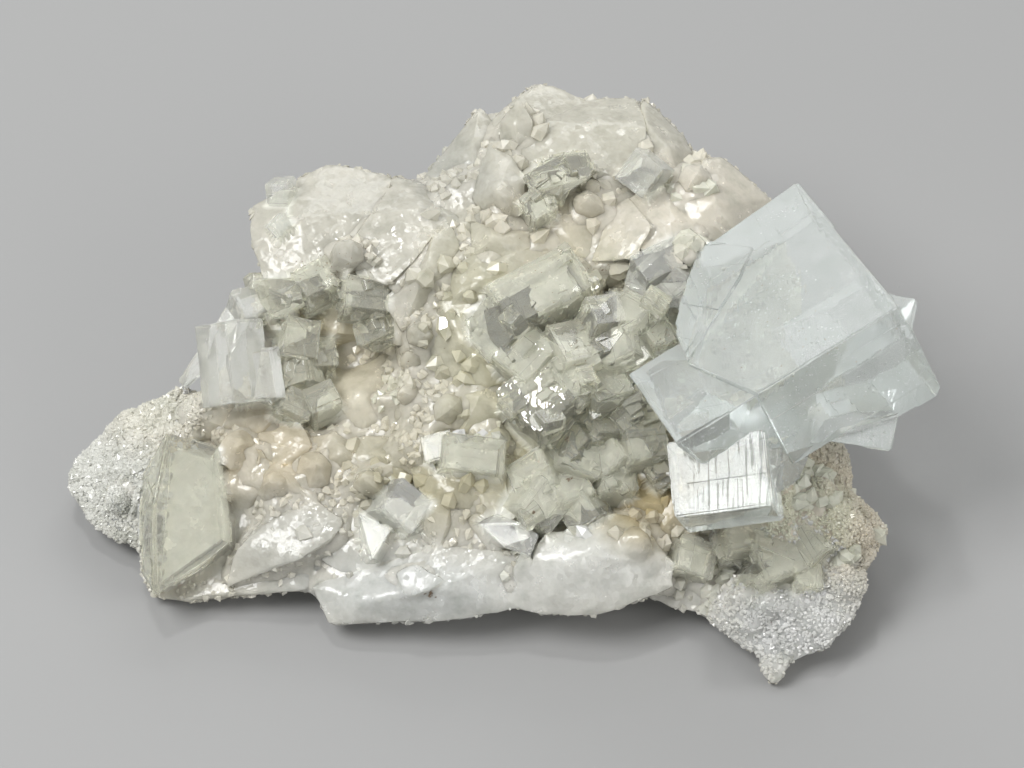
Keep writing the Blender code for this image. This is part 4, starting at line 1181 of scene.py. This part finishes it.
# Where grains start along the sight line in mm, their size for the radius, and their long axis
speckShape = {"depth": -2.0, "sizes": (0.5, 1.3), "axis": faceRight * 0.84 + faceUp * 0.54, "tilt": 0.3}

specks = [
    # dark grains lying on or just under the surface: place on the face, spread, how many, radius in mm
    ((12.0, 14.2), (2.4, 0.7), 46, 0.09),
    ((18.0, 4.5), (1.4, 1.8), 34, 0.09),
    ((8.5, 4.5), (3.0, 3.0), 30, 0.08),
    ((-21.0, 14.5), (5.5, 2.0), 60, 0.09),
    ((-9.5, -25.6), (0.9, 0.4), 9, 0.22),
    ((2.6, -15.5), (0.3, 0.3), 4, 0.2),
    ((6.7, -6.6), (0.3, 0.3), 4, 0.18),
    ((7.1, -11.6), (0.3, 0.3), 3, 0.18),
    ((-4.0, 9.0), (16.0, 13.0), 90, 0.08),
    ((36.0, 4.0), (9.0, 9.0), 46, 0.09),
]


def makeSpecks(surfaces):
    # each grain drops along the sight line on to the first surface it meets
    rng = np.random.default_rng(81)
    flat = []
    radius = []
    for at, wide, count, size in specks:
        flat.append(np.array(at) + rng.normal(size=(count, 2)) * np.array(wide) * 0.6)
        radius.append(size * rng.uniform(*speckShape["sizes"], count))
    flat = np.vstack(flat)
    radius = np.concatenate(radius) * mm
    start = faceToWorld(np.hstack([flat, np.full((len(flat), 1), speckShape["depth"])]))
    best = np.zeros(len(flat))
    for surface in surfaces:
        best = np.maximum(best, frontDistance(start, surface))
    hit = best > 0
    at = start[hit] + faceOut * best[hit][:, None]
    radius = radius[hit]
    axes = unitVectors(speckShape["axis"] + rng.normal(size=(len(at), 3)) * speckShape["tilt"])
    obj = hexTips("darkSpecks", at, axes, radius * 0.6, radius * 1.5, radius * 1.5, 82, darkGrain)
    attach(obj, "root")
    print("  darkSpecks", len(at))


print("veils and specks")
veilWhite = mottledGrain("veilWhite", (0.95, 0.97, 0.97), 0.25, 0.2)
darkGrain = mottledGrain("darkGrain", (0.20, 0.14, 0.09), 0.5, 0.0)
for entry in veils:
    makeVeil(entry, crystals[entry["in"]])
makeSpecks([quartz, fill] + list(crystals.values()))
